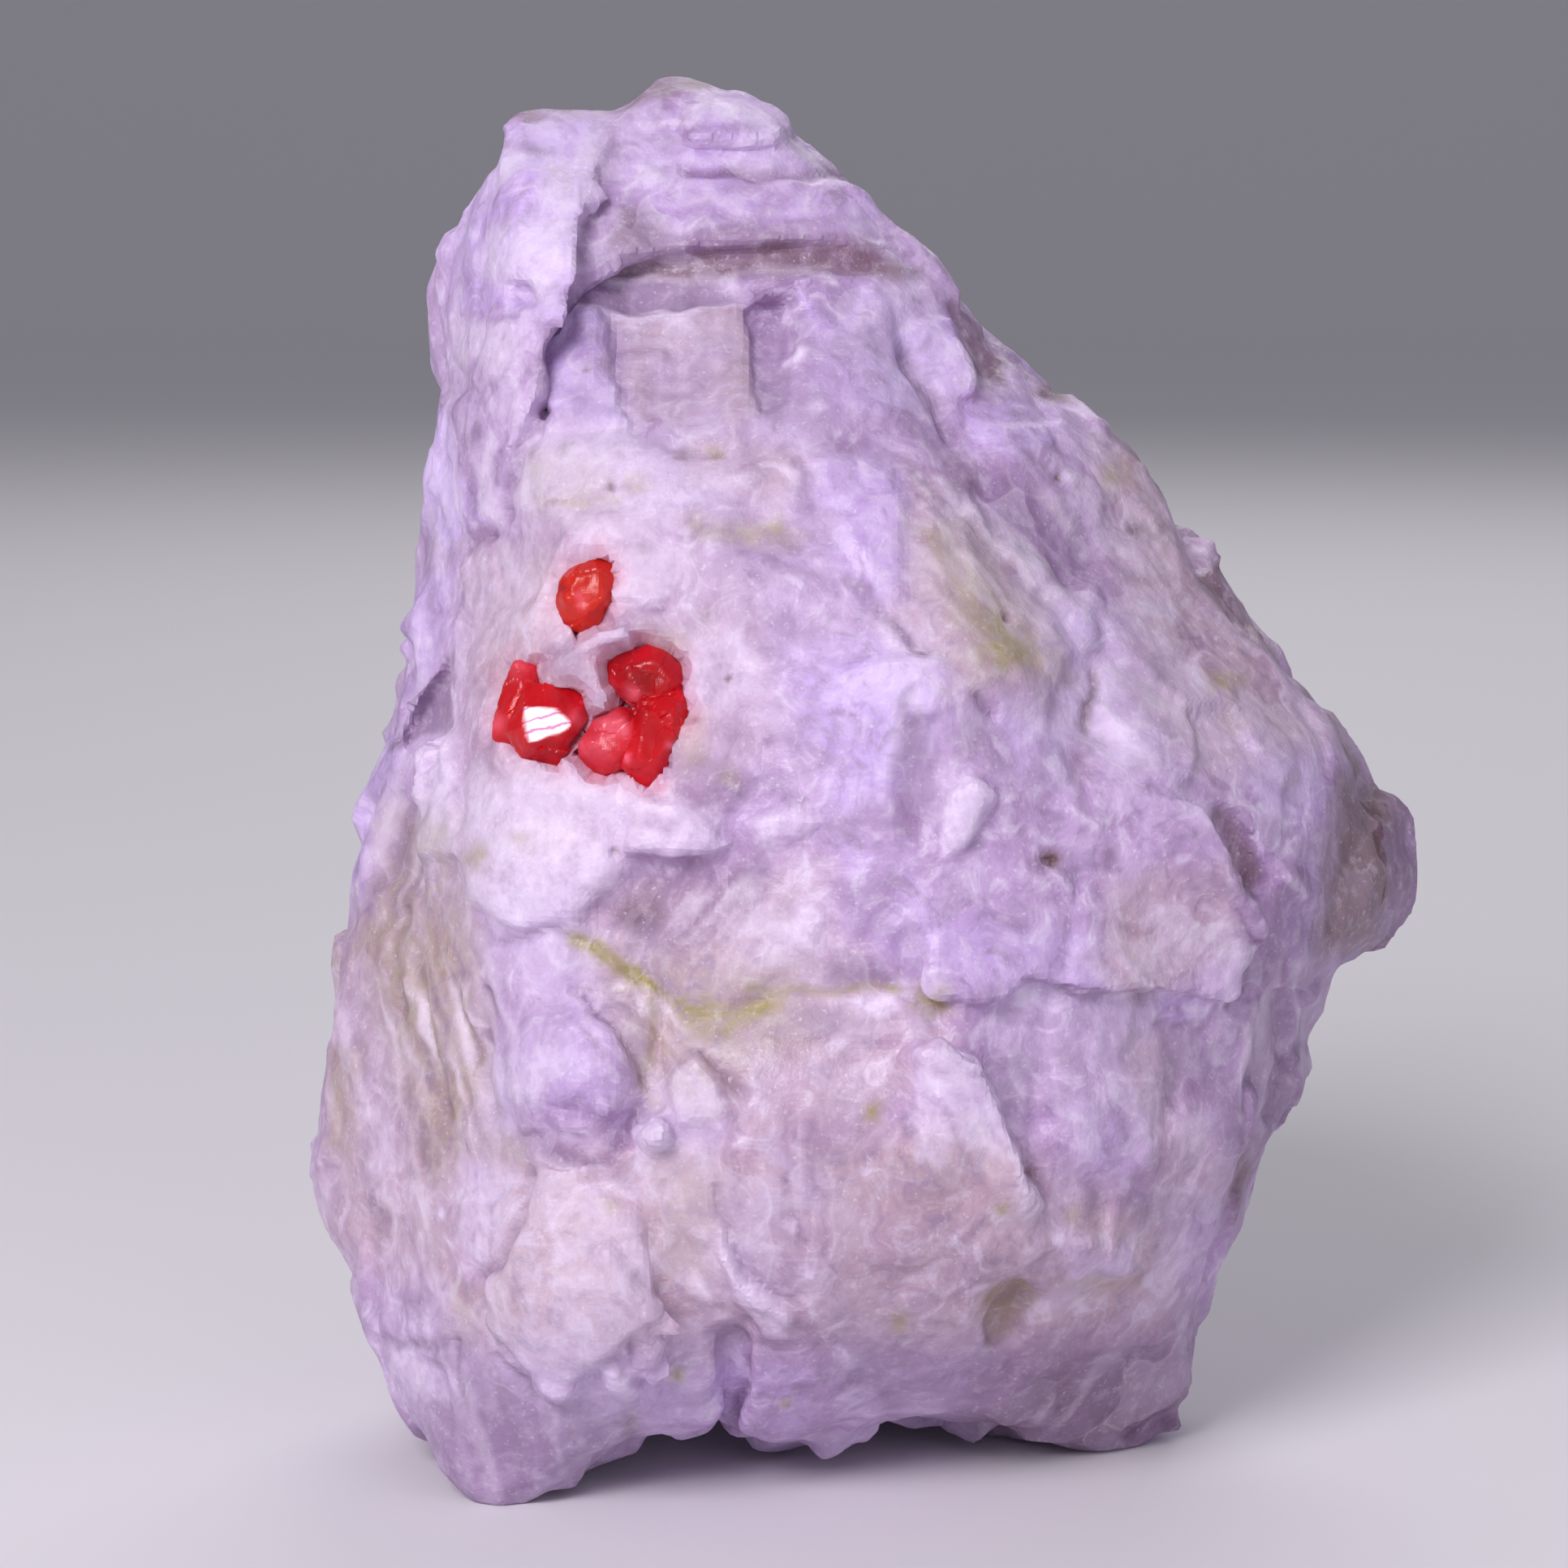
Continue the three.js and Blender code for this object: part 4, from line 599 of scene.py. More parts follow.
        (0.32, 0.8, [(-12.6, 22), (-10, 21.4), (-9.6, 17), (-9.2, 12), (-11, 10), (-12.4, 14),
            (-13.4, 18)]),
        (0.25, 1.0, [(-5.8, 17), (0.4, 17), (0.8, 14.6), (-2.6, 12.4), (-4.6, 13)]),
        (0.2, 1.0, [(3.8, 31), (6.4, 30.6), (9.2, 27.4), (8.6, 25), (5.4, 25.6)]),
        (0.2, 0.8, [(-4, 11), (-2.4, 10.4), (-2.2, 7.4), (-3.8, 6.8)]),
        (0.55, 0.25, [(4.2, 16.4), (5.2, 16.3), (5.4, 15.5), (4.6, 15.2), (4, 15.6)]),
        (0.65, 0.5, [(-3.8, 15.9), (-1.2, 15.9), (0.2, 16.1), (0.2, 15.4), (-1.4, 14.9), (-2, 14.2),
            (-3.2, 14.8)]),
        (0.3, 0.3, [(-14.2, 14.4), (-13.2, 14.4), (-13.4, 12), (-13.6, 10.4), (-14.4, 11.4)]),
        (0.3, 0.4, [(-9.6, 12), (-8, 11.4), (-8, 10.6), (-9.8, 11)]),
        (0.45, 0.3, [(13, 26.1), (14.4, 26), (14.2, 25.5), (13.2, 25.4)]),
        (0.3, 0.3, [(13.8, 25.2), (14.6, 24.2), (14.2, 24.1), (13.6, 24.8)]),
        (0.4, 0.3, [(6.4, 6.4), (7.4, 7), (8.1, 6.5), (7.2, 5.6), (6.6, 5)]),
        (0.25, 0.4, [(8.6, 7.1), (11, 7.3), (11.2, 6.9), (9.4, 6.6)]),
        (0.25, 0.4, [(-10.2, 7), (-9.6, 6.8), (-9.7, 5.2), (-10.4, 5.4)]),
    ],
    # The brown tint is partly iron stain and partly painted shade: under the hood, beside the plate on the
    # right, in the knob's valley and at the bottom right.
    "brown_and_shade": [
        (0.7, 0.3, [(-6.1, 38.4), (-5.2, 39.1), (-3.4, 39.5), (0, 39.7), (2.4, 39.6), (4.2, 38.5),
            (2.6, 38.6), (0, 38.5), (-2.6, 38.35), (-4, 38.35)]),
        (0.4, 0.4, [(-5.6, 39.2), (-5.2, 40.8), (-4.4, 40.9), (-3.4, 39.9), (-0.6, 40.1), (2, 39.8),
            (1, 39.4)]),
        (0.6, 0.15, [(-8.8, 43.6), (-8, 43.95), (-6.5, 43.75), (-5.2, 43.7), (-4.4, 44.3), (-4, 44.95),
            (-3.2, 45), (-2.2, 44.5), (-3.4, 44.1), (-4.2, 43.9), (-5, 43.5), (-8, 43.6)]),
        (0.6, 0.3, [(5.1, 37.6), (6.2, 37), (7.3, 36), (7, 35.3), (6.1, 35.3), (5.8, 36.2)]),
        (0.7, 0.25, [(13.5, 21.9), (14.2, 21.6), (15, 19.8), (14.7, 18.9), (14.2, 19.6), (13.9, 20.8)]),
        (0.95, 0.6, [(17.2, 23), (18.8, 22.4), (19.0, 19.8), (18.4, 17.6), (16.8, 17.2)]),
        (0.3, 1.0, [(6.4, 4.4), (9, 4.8), (12.6, 4.6), (12.4, 2.6), (9, 1.4), (6, 2)]),
        (0.5, 0.2, [(14.3, 11.6), (15, 11.6), (14.6, 10), (13.9, 8.8), (14.2, 10.4)]),
        (0.45, 0.3, [(-5, 19.2), (-4, 19.6), (-3.8, 18.4), (-4.8, 17.8), (-5.4, 18.4)]),
        (0.5, 0.3, [(6.5, 6.2), (7.4, 6.8), (7.8, 6.4), (7.2, 5.8), (6.6, 5)]),
        (0.35, 0.4, [(5, 32.9), (6, 32.6), (6, 31.8), (5.2, 31.9)]),
        (0.3, 0.4, [(9.2, 24.2), (9.9, 23.8), (9.8, 22.6), (9, 22.8)]),
    ],
    # The deep tint is partly the stone's clear mauve and partly painted shade: in hollows and under the
    # hood, on the right side and the knob, and along the bottom.
    "deep_and_shade": [
        (0.75, 1.3, [(5.2, 4.4), (9, 5), (12.4, 6), (13.8, 6), (13, 2), (9, 1.2), (5, 1.6)]),
        (0.7, 1.0, [(-11.8, 3.6), (-6.6, 3.2), (-5, 2.2), (-6, 0.6), (-9, -0.6), (-12, 1.4)]),
        (0.55, 0.7, [(14.9, 20), (16.6, 20.4), (16.6, 15), (15.4, 12), (13.9, 8), (13.8, 11.6),
            (14.6, 16)]),
        (0.95, 0.4, [(17.6, 23), (19.4, 22.4), (20, 19.6), (19.2, 17), (17.3, 16.6), (17.2, 20)]),
        (0.35, 1.0, [(-4.6, 2), (0.6, 1.8), (5, 3.4), (5, 2), (-4, 1)]),
        (0.55, 0.15, [(-9, 42.9), (-7.4, 42.8), (-7.2, 42.5), (-8.9, 42.4)]),
        (0.75, 0.12, UNDER_HOOD),
        (0.35, 0.2, [(-5.3, 37.4), (-3.6, 37.4), (-4, 35.4), (-3.8, 34), (-4.7, 33.8), (-5.1, 35.4)]),
        (0.4, 0.3, [(-2.4, 37.2), (-1.2, 37.4), (-0.9, 35.2), (-1.4, 33.8), (-2, 34.6)]),
        (0.4, 0.2, [(-6, 38.6), (2.6, 38.9), (1.4, 38.6), (-1, 38.4), (-6.2, 38.4)]),
        (0.65, 0.15, [(-7.6, 36.9), (-7.2, 36.9), (-7.1, 35), (-7.2, 33.9), (-7.7, 34.1)]),
        (0.5, 0.14, [(-5.4, 37.1), (-4.6, 37.1), (-4.7, 35.4), (-4.4, 34.2), (-5, 34.6)]),
        (0.6, 0.14, [(-1.1, 38), (0.1, 38.1), (0.1, 36.2), (0.3, 34.6), (-0.3, 33.6), (-0.8, 34.4),
            (-1, 36.2)]),
        (0.4, 0.3, [(-6, 43.2), (-5, 42.8), (-5.4, 40.6), (-6.2, 38.9), (-6.5, 39), (-6.1, 41.6)]),
        (0.5, 0.3, [(-5, 40.7), (-4, 40.4), (-3.4, 39.5), (-5.6, 39.4)]),
        (0.4, 0.4, [(0.8, 33.8), (2.6, 33.4), (2.4, 32.9), (0.8, 33.1)]),
        (0.6, 0.4, [(6.2, 32.8), (7.4, 32.6), (9.3, 31), (10.3, 30.2), (10.4, 29.2), (9.4, 28.6),
            (8.2, 28.8), (7.2, 30.2), (5.9, 31.8)]),
        (0.5, 0.3, [(0.2, 32.8), (1, 32.4), (1.2, 31), (0.6, 30.8)]),
        (0.35, 0.3, [(10.4, 26.8), (12.4, 26.6), (12, 25.2), (10.6, 25)]),
        (0.8, 0.12, [(-10.4, 26.7), (-11.3, 25.5), (-12.2, 24.2), (-12.4, 23.6), (-11.2, 24.1),
            (-10.35, 24.4)]),
        (0.45, 0.3, LEFT_HOLLOW),
        (0.4, 0.4, [(-9.8, 24.4), (-9.1, 24.2), (-9, 23), (-9.9, 23)]),
        (0.5, 0.5, [(-6.2, 19.2), (-4.6, 20.1), (-1.8, 20.2), (-0.6, 21), (-0.4, 19.4), (-2, 17.6),
            (-4.4, 17.2)]),
        (0.4, 0.3, [(-3.9, 23.4), (-2, 23.4), (-0.6, 22.8), (-1.8, 21.6), (-3.4, 22.2)]),
        (0.5, 0.3, [(3.7, 25), (4.9, 24.8), (4.8, 22), (4.2, 20.4), (3.5, 22)]),
        (0.45, 0.4, [(5.6, 24.8), (6.5, 24.6), (7, 23.2), (6.4, 22.8), (5.6, 23.6)]),
        (0.5, 0.3, [(1.6, 19.4), (3.4, 20), (3.4, 18), (2.4, 17.8)]),
        (0.55, 0.3, [(1.4, 17.4), (2.6, 17.4), (3.6, 16.4), (2.2, 16.2), (1.4, 16.6)]),
        (0.5, 0.3, [(0.4, 15.6), (1.8, 15.7), (2.2, 15.2), (1.2, 14.4), (0.2, 14.4)]),
        (0.35, 1.0, [(-7.4, 13), (-6.2, 13.4), (-5.2, 12.6), (-5.4, 11.8), (-6.4, 11.6), (-7.4, 12)]),
        (0.4, 0.3, [(-4.2, 10.9), (-3.3, 11.2), (-3.1, 10.6), (-4, 10.4)]),
        (0.35, 0.4, [(-2.2, 9.6), (0.2, 9.8), (0.8, 7.8), (0.2, 6.8), (-1.2, 7.2), (-2, 8.4)]),
        (0.5, 0.25, [(-2.6, 5.4), (-1.3, 5.6), (-1.2, 5), (-1.8, 4.8), (-2.4, 4.7)]),
        (0.5, 0.5, [(2.4, 5.2), (5.4, 4.6), (5.4, 3.2), (3.2, 3.2), (2, 3.8)]),
        (0.9, 0.35, [(10, 3.2), (12.9, 3.8), (12.2, 2.8), (11, 1.9), (10.2, 2)]),
        (0.5, 0.3, [(-9.4, 4.8), (-8.4, 4), (-7, 3), (-6.6, 2), (-8, 1), (-10, 1.6), (-10, 4)]),
        (0.5, 0.3, [(-11.4, 5.2), (-10.4, 5.6), (-9.7, 5.2), (-10, 4.2), (-11, 4.4)]),
        (0.4, 0.3, [(12, 14.9), (14.6, 14.8), (14.2, 12.6), (12.2, 12.8)]),
        (0.8, 0.25, [(15.7, 14.6), (16.6, 13.4), (16.4, 11.6), (15.2, 11.2), (14.6, 10), (15.1, 12.2)]),
        (0.5, 0.3, [(12.4, 6.8), (13.4, 6.4), (13.2, 4.4), (12.4, 4.8)]),
        (0.35, 0.4, [(6.2, 14.2), (8, 14), (8.2, 12.2), (7.2, 12), (6.6, 13.2)]),
        (0.3, 0.5, [(10.6, 9.6), (13.2, 9.6), (13, 8.8), (10.4, 8.6)]),
        (0.3, 1.0, [(-0.4, 11.4), (2.4, 11.8), (5.4, 11), (6, 8), (3.6, 6.8), (0.4, 7.4)]),
        (0.3, 0.8, [(-7, 37), (-2, 37.2), (3.4, 36.8), (3, 34.4), (-1.6, 33.8), (-6.6, 34.2)]),
        (0.3, 0.3, [(-8.6, 7.2), (-7.6, 7.6), (-7.6, 6.8), (-8.4, 6.6)]),
        (0.35, 0.3, [(-12.2, 6.8), (-11, 6.6), (-11.4, 5.8), (-12.2, 6)]),
        (0.4, 0.3, [(-8.5, 38.2), (-7.6, 38.2), (-7.6, 37.6), (-8.4, 37.6)]),
        (0.5, 0.4, [(16.6, 17), (17.4, 17.4), (17, 15), (16.2, 14)]),
    ],
}

# Spots of tint: place, reach and strength.
SPOTS = {
    # The small pale spots are white specks, some of them painted glints.
    "pale_and_highlight": [
        (1.05, 34.5, 0.25, 0.8), (0.1, 32.3, 0.16, 1), (4.2, 32.4, 0.14, 1), (6.8, 29.7, 0.22, 1),
        (7.5, 29.4, 0.18, 1), (5.7, 36.8, 0.14, 1), (-2.3, 30.15, 0.2, 0.9), (-3.6, 19.9, 0.14, 0.9),
        (-5.1, 15.8, 0.18, 0.9), (-4.0, 15.5, 0.16, 0.9), (-10.75, 9.2, 0.18, 1), (-3.2, 9.4, 0.14, 1),
        (0.3, 8.8, 0.2, 0.8), (0.7, 7.3, 0.22, 0.9), (8.5, 8.35, 0.16, 1), (9.8, 10.3, 0.14, 1),
        (18.75, 19.8, 0.2, 0.9), (-12.5, 3.9, 0.16, 1), (-7.5, 25.9, 0.2, 0.9), (0.95, 28, 0.25, 0.6),
        (-4.2, 41.6, 0.25, 0.9), (-2.8, 43.5, 0.25, 0.9), (-3.8, 41.4, 0.2, 0.8), (0.8, 40.6, 0.3, 0.7),
        (-1.4, 40.7, 0.3, 0.5), (-3.2, 41.3, 0.3, 0.6), (-2.4, 41.2, 0.25, 0.6), (10.4, 26.3, 0.3, 0.5),
        (-11.4, 17.6, 0.14, 0.9),
    ],
    "olive": [
        (-0.2, 30.6, 0.35, 0.5), (-9.4, 20.3, 0.4, 0.5), (2.8, 12.3, 0.35, 0.6), (6.85, 9.35, 0.25, 0.6),
        (3.6, 5.6, 0.4, 0.5), (-3.3, 4.1, 0.25, 0.6), (0.05, 3.2, 0.15, 0.6), (-5.4, 9.5, 0.3, 0.4),
        (-1.7, 22.8, 0.3, 0.4), (9.1, 9.1, 0.3, 0.3), (10.3, 32.3, 0.5, 0.35), (-8.1, 20.8, 0.3, 0.25),
        (-2.2, 33.0, 0.28, 0.6), (-4.6, 31.9, 0.35, 0.35),
    ],
    "brown_and_shade": [
        (8.5, 20.3, 0.35, 0.9), (8.1, 20, 0.35, 0.5), (11.8, 30.5, 0.28, 0.8), (11.1, 30.6, 0.25, 0.6),
        (-3.1, 33, 0.28, 1), (-3.2, 32.7, 0.18, 1), (-2.2, 33, 0.22, 0.5), (6.85, 27.9, 0.13, 1),
        (8.65, 32.15, 0.13, 1), (-1.85, 25.95, 0.11, 1), (11.7, 16.15, 0.13, 1), (7.9, 10.45, 0.18, 0.9),
        (-6, 35.25, 0.1, 1), (-5.5, 35.5, 0.2, 0.7), (-5.3, 31.85, 0.16, 0.8), (-4.45, 34.9, 0.1, 0.8),
        (-5.2, 38.1, 0.12, 0.6), (-7, 34.4, 0.12, 0.6), (-3, 24.75, 0.14, 1), (-2.75, 24.6, 0.13, 0.9),
        (-6.9, 33.0, 0.2, 0.4), (-7.8, 32.9, 0.2, 0.5), (-5.3, 20.5, 0.12, 0.7), (-1.3, 35.8, 0.14, 0.5),
        (-3.6, 36, 0.12, 0.5), (2.3, 11.8, 0.16, 0.6), (-6.1, 16.2, 0.14, 0.5), (-4.4, 30, 0.18, 0.4),
        (6.5, 5, 0.18, 0.8), (-2.4, 27.9, 0.4, 0.4), (10.2, 20.3, 0.3, 0.4), (-5.1, 4.2, 0.12, 0.6),
        (-4.8, 2.6, 0.4, 0.5),
    ],
    "deep_and_shade": [
        (15.6, 22.6, 0.4, 0.4), (0.75, 24.7, 0.25, 0.5), (1.9, 21.4, 0.2, 0.5), (-6.3, 26.2, 0.3, 0.5),
    ],
}

# Lines of tint: path, half width and strength.
LINES = {
    # The cracks get painted shade and the thin edges painted highlight.
    "deep_and_shade": [(path, reach, CRACK_SHADE) for path, reach, depth in CRACKS],
    "pale_and_highlight": [(path, reach, EDGE_HIGHLIGHT) for path, reach, height in EDGES],
    "olive": [
        ([(-6.4, 17.7), (-5.4, 17.1), (-4.4, 16.5), (-3.4, 15.8), (-2.2, 15.2)], 0.26, 0.85),
        ([(-11.6, 16.4), (-11.2, 15), (-10.7, 13.2), (-10.3, 12)], 0.16, 0.5),
        ([(-9.9, 16), (-9.7, 14), (-9.8, 12.4)], 0.16, 0.4),
        ([(-1.2, 16.2), (0.2, 16.1), (1.6, 16.2), (3.6, 16.2)], 0.16, 0.45),
        ([(-4.2, 16.2), (-4.1, 14.8), (-4.3, 13.4), (-4.0, 12.6)], 0.25, 0.4),
        ([(-7.6, 31.5), (-6.2, 31.3), (-5, 31.4)], 0.16, 0.4),
    ],
    # The brown lines along the right edges are painted shade where the stone turns from the light.
    "brown_and_shade": [
        ([(8.3, 35), (9.4, 34.4), (10.6, 33.5), (11.8, 32.4), (12, 31.9)], 0.22, 0.8),
        ([(13.2, 29), (14.6, 27.4), (16.2, 26), (17.3, 24.4), (18, 23)], 0.2, 0.7),
        ([(2.2, 41.8), (3.4, 40.3), (4.4, 39.5), (5, 38.8)], 0.16, 0.6),
        ([(10.8, 29), (12, 29)], 0.14, 0.35),
        ([(9.9, 26.1), (9.7, 25.2), (9.4, 24.4)], 0.18, 0.5),
    ],
}

# Patches of the same tints where the photograph doesn't show the stone: seed, size and strength.
BACK_TINTS = {
    "violet_and_lamp_light": (31, 7.0, 0.5),
    "pale_and_highlight": (32, 2.8, 0.6),
    "warm": (33, 9.0, 0.8),
    "olive": (34, 4.6, 0.3),
    "brown_and_shade": (35, 3.6, 0.22),
    "deep_and_shade": (36, 4.0, 0.35),
}
BACK_TINT_EDGE = (0.1, 0.5)

# Marks on the rubies: place, reach and strength.
RUBY_MARKS = {
    "dark": [
        (-4.35, 25.8, 0.6, 1.0), (-5.1, 26.2, 0.4, 0.7), (-3.5, 26.4, 0.4, 0.5), (-4.6, 24.8, 0.35, 0.7),
        (-4.0, 24.2, 0.5, 0.4), (-7.4, 23.7, 0.6, 0.5), (-8.6, 25.9, 0.5, 0.3), (-6.9, 28.75, 0.16, 1.5),
        (-6.1, 29.4, 0.5, 0.3), (-6.9, 25.3, 0.4, 0.4),
    ],
    # The pink marks are painted highlights.
    "pink_highlight": [
        (-5.5, 24.4, 0.5, 0.7), (-5.0, 24.3, 0.25, 0.7), (-4.75, 25.4, 0.22, 0.8), (-5.8, 23.7, 0.4, 0.4),
        (-6.3, 23.8, 0.3, 0.6), (-3.6, 23.8, 0.14, 0.8), (-4.9, 23.5, 0.14, 0.9), (-9.0, 24.5, 0.3, 0.5),
        (-6.6, 24.6, 0.25, 0.5), (-3.4, 26.6, 0.3, 0.3), (-8.3, 26.2, 0.3, 0.3), (-6.4, 28.5, 0.16, 0.6),
        (-6.4, 28.2, 0.14, 0.5), (-5.6, 25.6, 0.3, 0.4),
    ],
}
# The broad flat face of the left ruby, on which a pale reflection with white bands is painted.
MIRROR_OUTLINE = [
    (-8.17, 24.99), (-7.68, 25.04), (-7.23, 24.91), (-6.69, 24.45), (-7.05, 24.2), (-8.04, 23.94),
    (-8.14, 24.48),
]
MIRROR_EDGE = 0.06
MIRROR_FACING = (0.8, 0.95)

# How orange each crystal is.
RUBY_ORANGE = {"ruby_upper": 0.7, "ruby_left": 0.0, "ruby_right": 0.0}


def drawn_relief(a, b):
    """Height of the plates, hollows, cracks, edges and pits that the photograph shows."""
    height = np.zeros_like(a)
    for lift, edge, outline, *rise in PLATES:
        rise_a, rise_b = rise or (0, 0)
        middle_a, middle_b = np.mean(outline, axis=0)
        plate = lift + rise_a * (a - middle_a) + rise_b * (b - middle_b)
        height += plate * inside_share(a, b, outline, max(edge, LEAST_EDGE))
    for path, reach, depth in CRACKS:
        height -= depth * near_share(a, b, path, max(reach, LEAST_EDGE))
    for path, reach, lift in EDGES:
        height += lift * near_share(a, b, path, max(reach, LEAST_EDGE))
    for pit_a, pit_b, reach, depth in PITS:
        height -= depth * spot_share(a, b, pit_a, pit_b, reach)
    return height


def drawn_fibres(a, b, points):
    """Long thin streaks, each lot running its own way."""
    total = np.zeros_like(a)
    for seed, (middle_a, middle_b, reach, angle, width, strength) in enumerate(STREAKS, STREAK_SEED):
        share = strength * spot_share(a, b, middle_a, middle_b, reach)
        here = np.flatnonzero(share > FAINTEST_STREAK)
        turn = math.radians(angle)
        along = a[here] * math.cos(turn) + b[here] * math.sin(turn)
        across = a[here] * math.sin(turn) - b[here] * math.cos(turn)
        stretched = np.stack([along / STREAK_LENGTH, across, points[here, 1] / STREAK_LENGTH], axis=1)
        total[here] += share[here] * smooth_noise(stretched, width, seed)
    return total


def drawn_tint(name, a, b):
    """How much of a tint the photograph shows at each place."""
    share = np.zeros_like(a)
    for strength, softness, outline in PATCHES[name]:
        share = np.maximum(share, strength * inside_share(a, b, outline, softness))
    for spot_a, spot_b, reach, strength in SPOTS.get(name, []):
        share = np.maximum(share, strength * spot_share(a, b, spot_a, spot_b, reach))
    for path, reach, strength in LINES.get(name, []):
        share = np.maximum(share, strength * near_share(a, b, path, reach))
    return share


def glow_share(a, b):
    """How much red light reaches the marble from the rubies in it."""
    nearest = np.full_like(a, np.inf)
    for node in RUBY_NODES:
        for corner_a, corner_b in zip(*drawn(points_of(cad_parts[node].data))):
            nearest = np.minimum(nearest, np.hypot(a - corner_a, b - corner_b))
    return sum(strength * np.exp(-((nearest / reach) ** 2)) for strength, reach in GLOWS)


def close_sockets(points, facing):
    """Raises the marble round the rubies, which are grown into it, and brings it right up to them."""
    closed = points.copy()
    lift = COLLAR_HEIGHT * ramp(facing, *COLLARS_SHOW)
    for node in RUBY_NODES:
        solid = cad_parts[node].data
        corners = points_of(solid)
        faces = BVHTree.FromPolygons(
            [Vector(corner) for corner in corners], [list(face.vertices) for face in solid.polygons]
        )
        low, high = corners.min(axis=0) - COLLAR_WIDTH, corners.max(axis=0) + COLLAR_WIDTH
        near = np.flatnonzero(np.all((points > low) & (points < high), axis=1))
        for index in near:
            spot = Vector(closed[index])
            distance = faces.find_nearest(spot)[3]
            raised = float(lift[index] * ramp(distance, COLLAR_WIDTH, SOCKET_REACH))
            spot += raised * Vector(TOWARDS_VIEWER)
            nearest, outwards, _, distance = faces.find_nearest(spot)
            inside = (spot - nearest).dot(outwards) < 0
            pull = 1.0 if inside else float(ramp(distance, SOCKET_FADE, SOCKET_REACH))
            closed[index] = spot.lerp(nearest, pull)
    return closed


def carve_stone(piece):
    """The break all round, what the photograph shows of the front, and the tints of both."""
    mesh = piece.data
    points = points_of(mesh)
    normals = normals_of(mesh)
    facing = normals @ TOWARDS_VIEWER
    front = ramp(facing, *FORMS_SHOW)
    relief = natural_break(mesh, points, 1 - front, STONE_SWELLS, STONE_BREAKS)

    seen = np.flatnonzero(facing > TINTS_SHOW[0])
    a, b = hand_drawn(points[seen], *STONE_WANDER)
    fibres = drawn_fibres(a, b, points[seen])
    relief[seen] += front[seen] * (drawn_relief(a, b) + STREAK_HEIGHT * fibres)
    relief = blurred(mesh, relief, 1) * ramp(points[:, 2], *GROUND_FADE)
    moved = close_sockets(points + normals * relief[:, None], facing)
    moved[:, 2] = np.maximum(moved[:, 2], 0)
    move_points(mesh, moved)

    shown = ramp(facing[seen], *TINTS_SHOW)
    for name, (seed, size, strength) in BACK_TINTS.items():
        share = strength * ramp(smooth_noise(points, size, seed), *BACK_TINT_EDGE)
        share[seen] = (1 - shown) * share[seen] + shown * drawn_tint(name, a, b)
        store(mesh, name, share)
    # Painted light: the red glow of the rubies on the marble round them.
    ruby_glow = np.zeros(len(points))
    ruby_glow[seen] = shown * glow_share(a, b)
    store(mesh, "ruby_glow", ruby_glow)
    all_fibres = FIBRE_STRENGTH * smooth_noise(points, FIBRE_SIZE, FIBRE_SEED)
    all_fibres[seen] += shown * fibres
    store(mesh, "fibres", all_fibres)


def grow_ruby(piece, orange):
    """Growth steps on a crystal's faces, its darker parts, its painted pink highlights and its flat mirror
    face, which carries a painted reflection.
    """
    mesh = piece.data
    points = points_of(mesh)
    normals = normals_of(mesh)
    a, b = hand_drawn(points, *RUBY_WANDER)
    mirror_glare = inside_share(a, b, MIRROR_OUTLINE, MIRROR_EDGE) * ramp(normals @ TOWARDS_VIEWER, *MIRROR_FACING)
    growth = RUBY_GROWTH + natural_break(mesh, points, 0, RUBY_SWELLS, RUBY_BREAKS)
    move_points(mesh, points + normals * (growth * (1 - mirror_glare))[:, None])
    store(mesh, "orange", np.full(len(points), orange))
    store(mesh, "mirror_glare", mirror_glare)
    for name, spots in RUBY_MARKS.items():
        share = sum(strength * spot_share(a, b, *spot) for *spot, strength in spots)
        store(mesh, name, np.clip(share, 0, 1))


# Materials.

# The Mix node keeps a set of sockets for each data type, and these are the colour ones.
MIX_SHARE, MIX_UNDER, MIX_OVER, MIX_RESULT = 0, 6, 7, 2

# Noise patterns: size in mm, detail, roughness and distortion. The speckle is painted sparkle, and
# the real sparkle of single grains is finer than a picture of the whole stone can hold, so it is as coarse
# as shows.
MARBLE_PATTERNS = {
    "broad": (7, 2, 0.6, 0),
    "veils": (3, 4, 0.62, 1),
    "clumps": (1.3, 3, 0.6, 1.6),
    "fine": (0.6, 4, 0.7, 0),
    "painted_sparkle": (0.16, 1, 0.6, 0),
}
RUBY_PATTERNS = {
    "cloudy": (0.9, 5, 0.65, 0.6),
    "flaws": (0.35, 3, 0.6, 1.5),
    "fine": (0.2, 4, 0.6, 0),
}

# A pattern thins a stain to the first number times its strength, and thickens it to the second.
STAIN_SPREAD = (-0.2, 2.2)

# Calcite crystals in the marble, and how their outlines are pushed about.
CRYSTAL_SIZE = 3.2
PUSH_SIZE = 1.5
PUSH_REACH = 1.6

# Bands in the painted reflection on the ruby's mirror face, and their slant.
BAND_SIZE = 1.1
BAND_SLANT = math.radians(14)


def colour(hex_value):
    """An sRGB hex value as a linear colour."""
    channels = [(hex_value >> shift & 255) / 255 for shift in (16, 8, 0)]
    linear = [c / 12.92 if c <= 0.04045 else ((c + 0.055) / 1.055) ** 2.4 for c in channels]
    return (*linear, 1.0)


def add(tree, kind, inputs=None, **settings):
    """One node, with its settings, and its inputs set or linked."""
    node = tree.nodes.new(kind)
    for name, value in settings.items():
        setattr(node, name, value)
    for key, value in (inputs or {}).items():
        if isinstance(value, bpy.types.NodeSocket):
            tree.links.new(value, node.inputs[key])
        else:
            node.inputs[key].default_value = value
    return node


def start_material(name):
    material = bpy.data.materials.new(name)
    material.use_nodes = True
    material.node_tree.nodes.clear()
    return material, material.node_tree


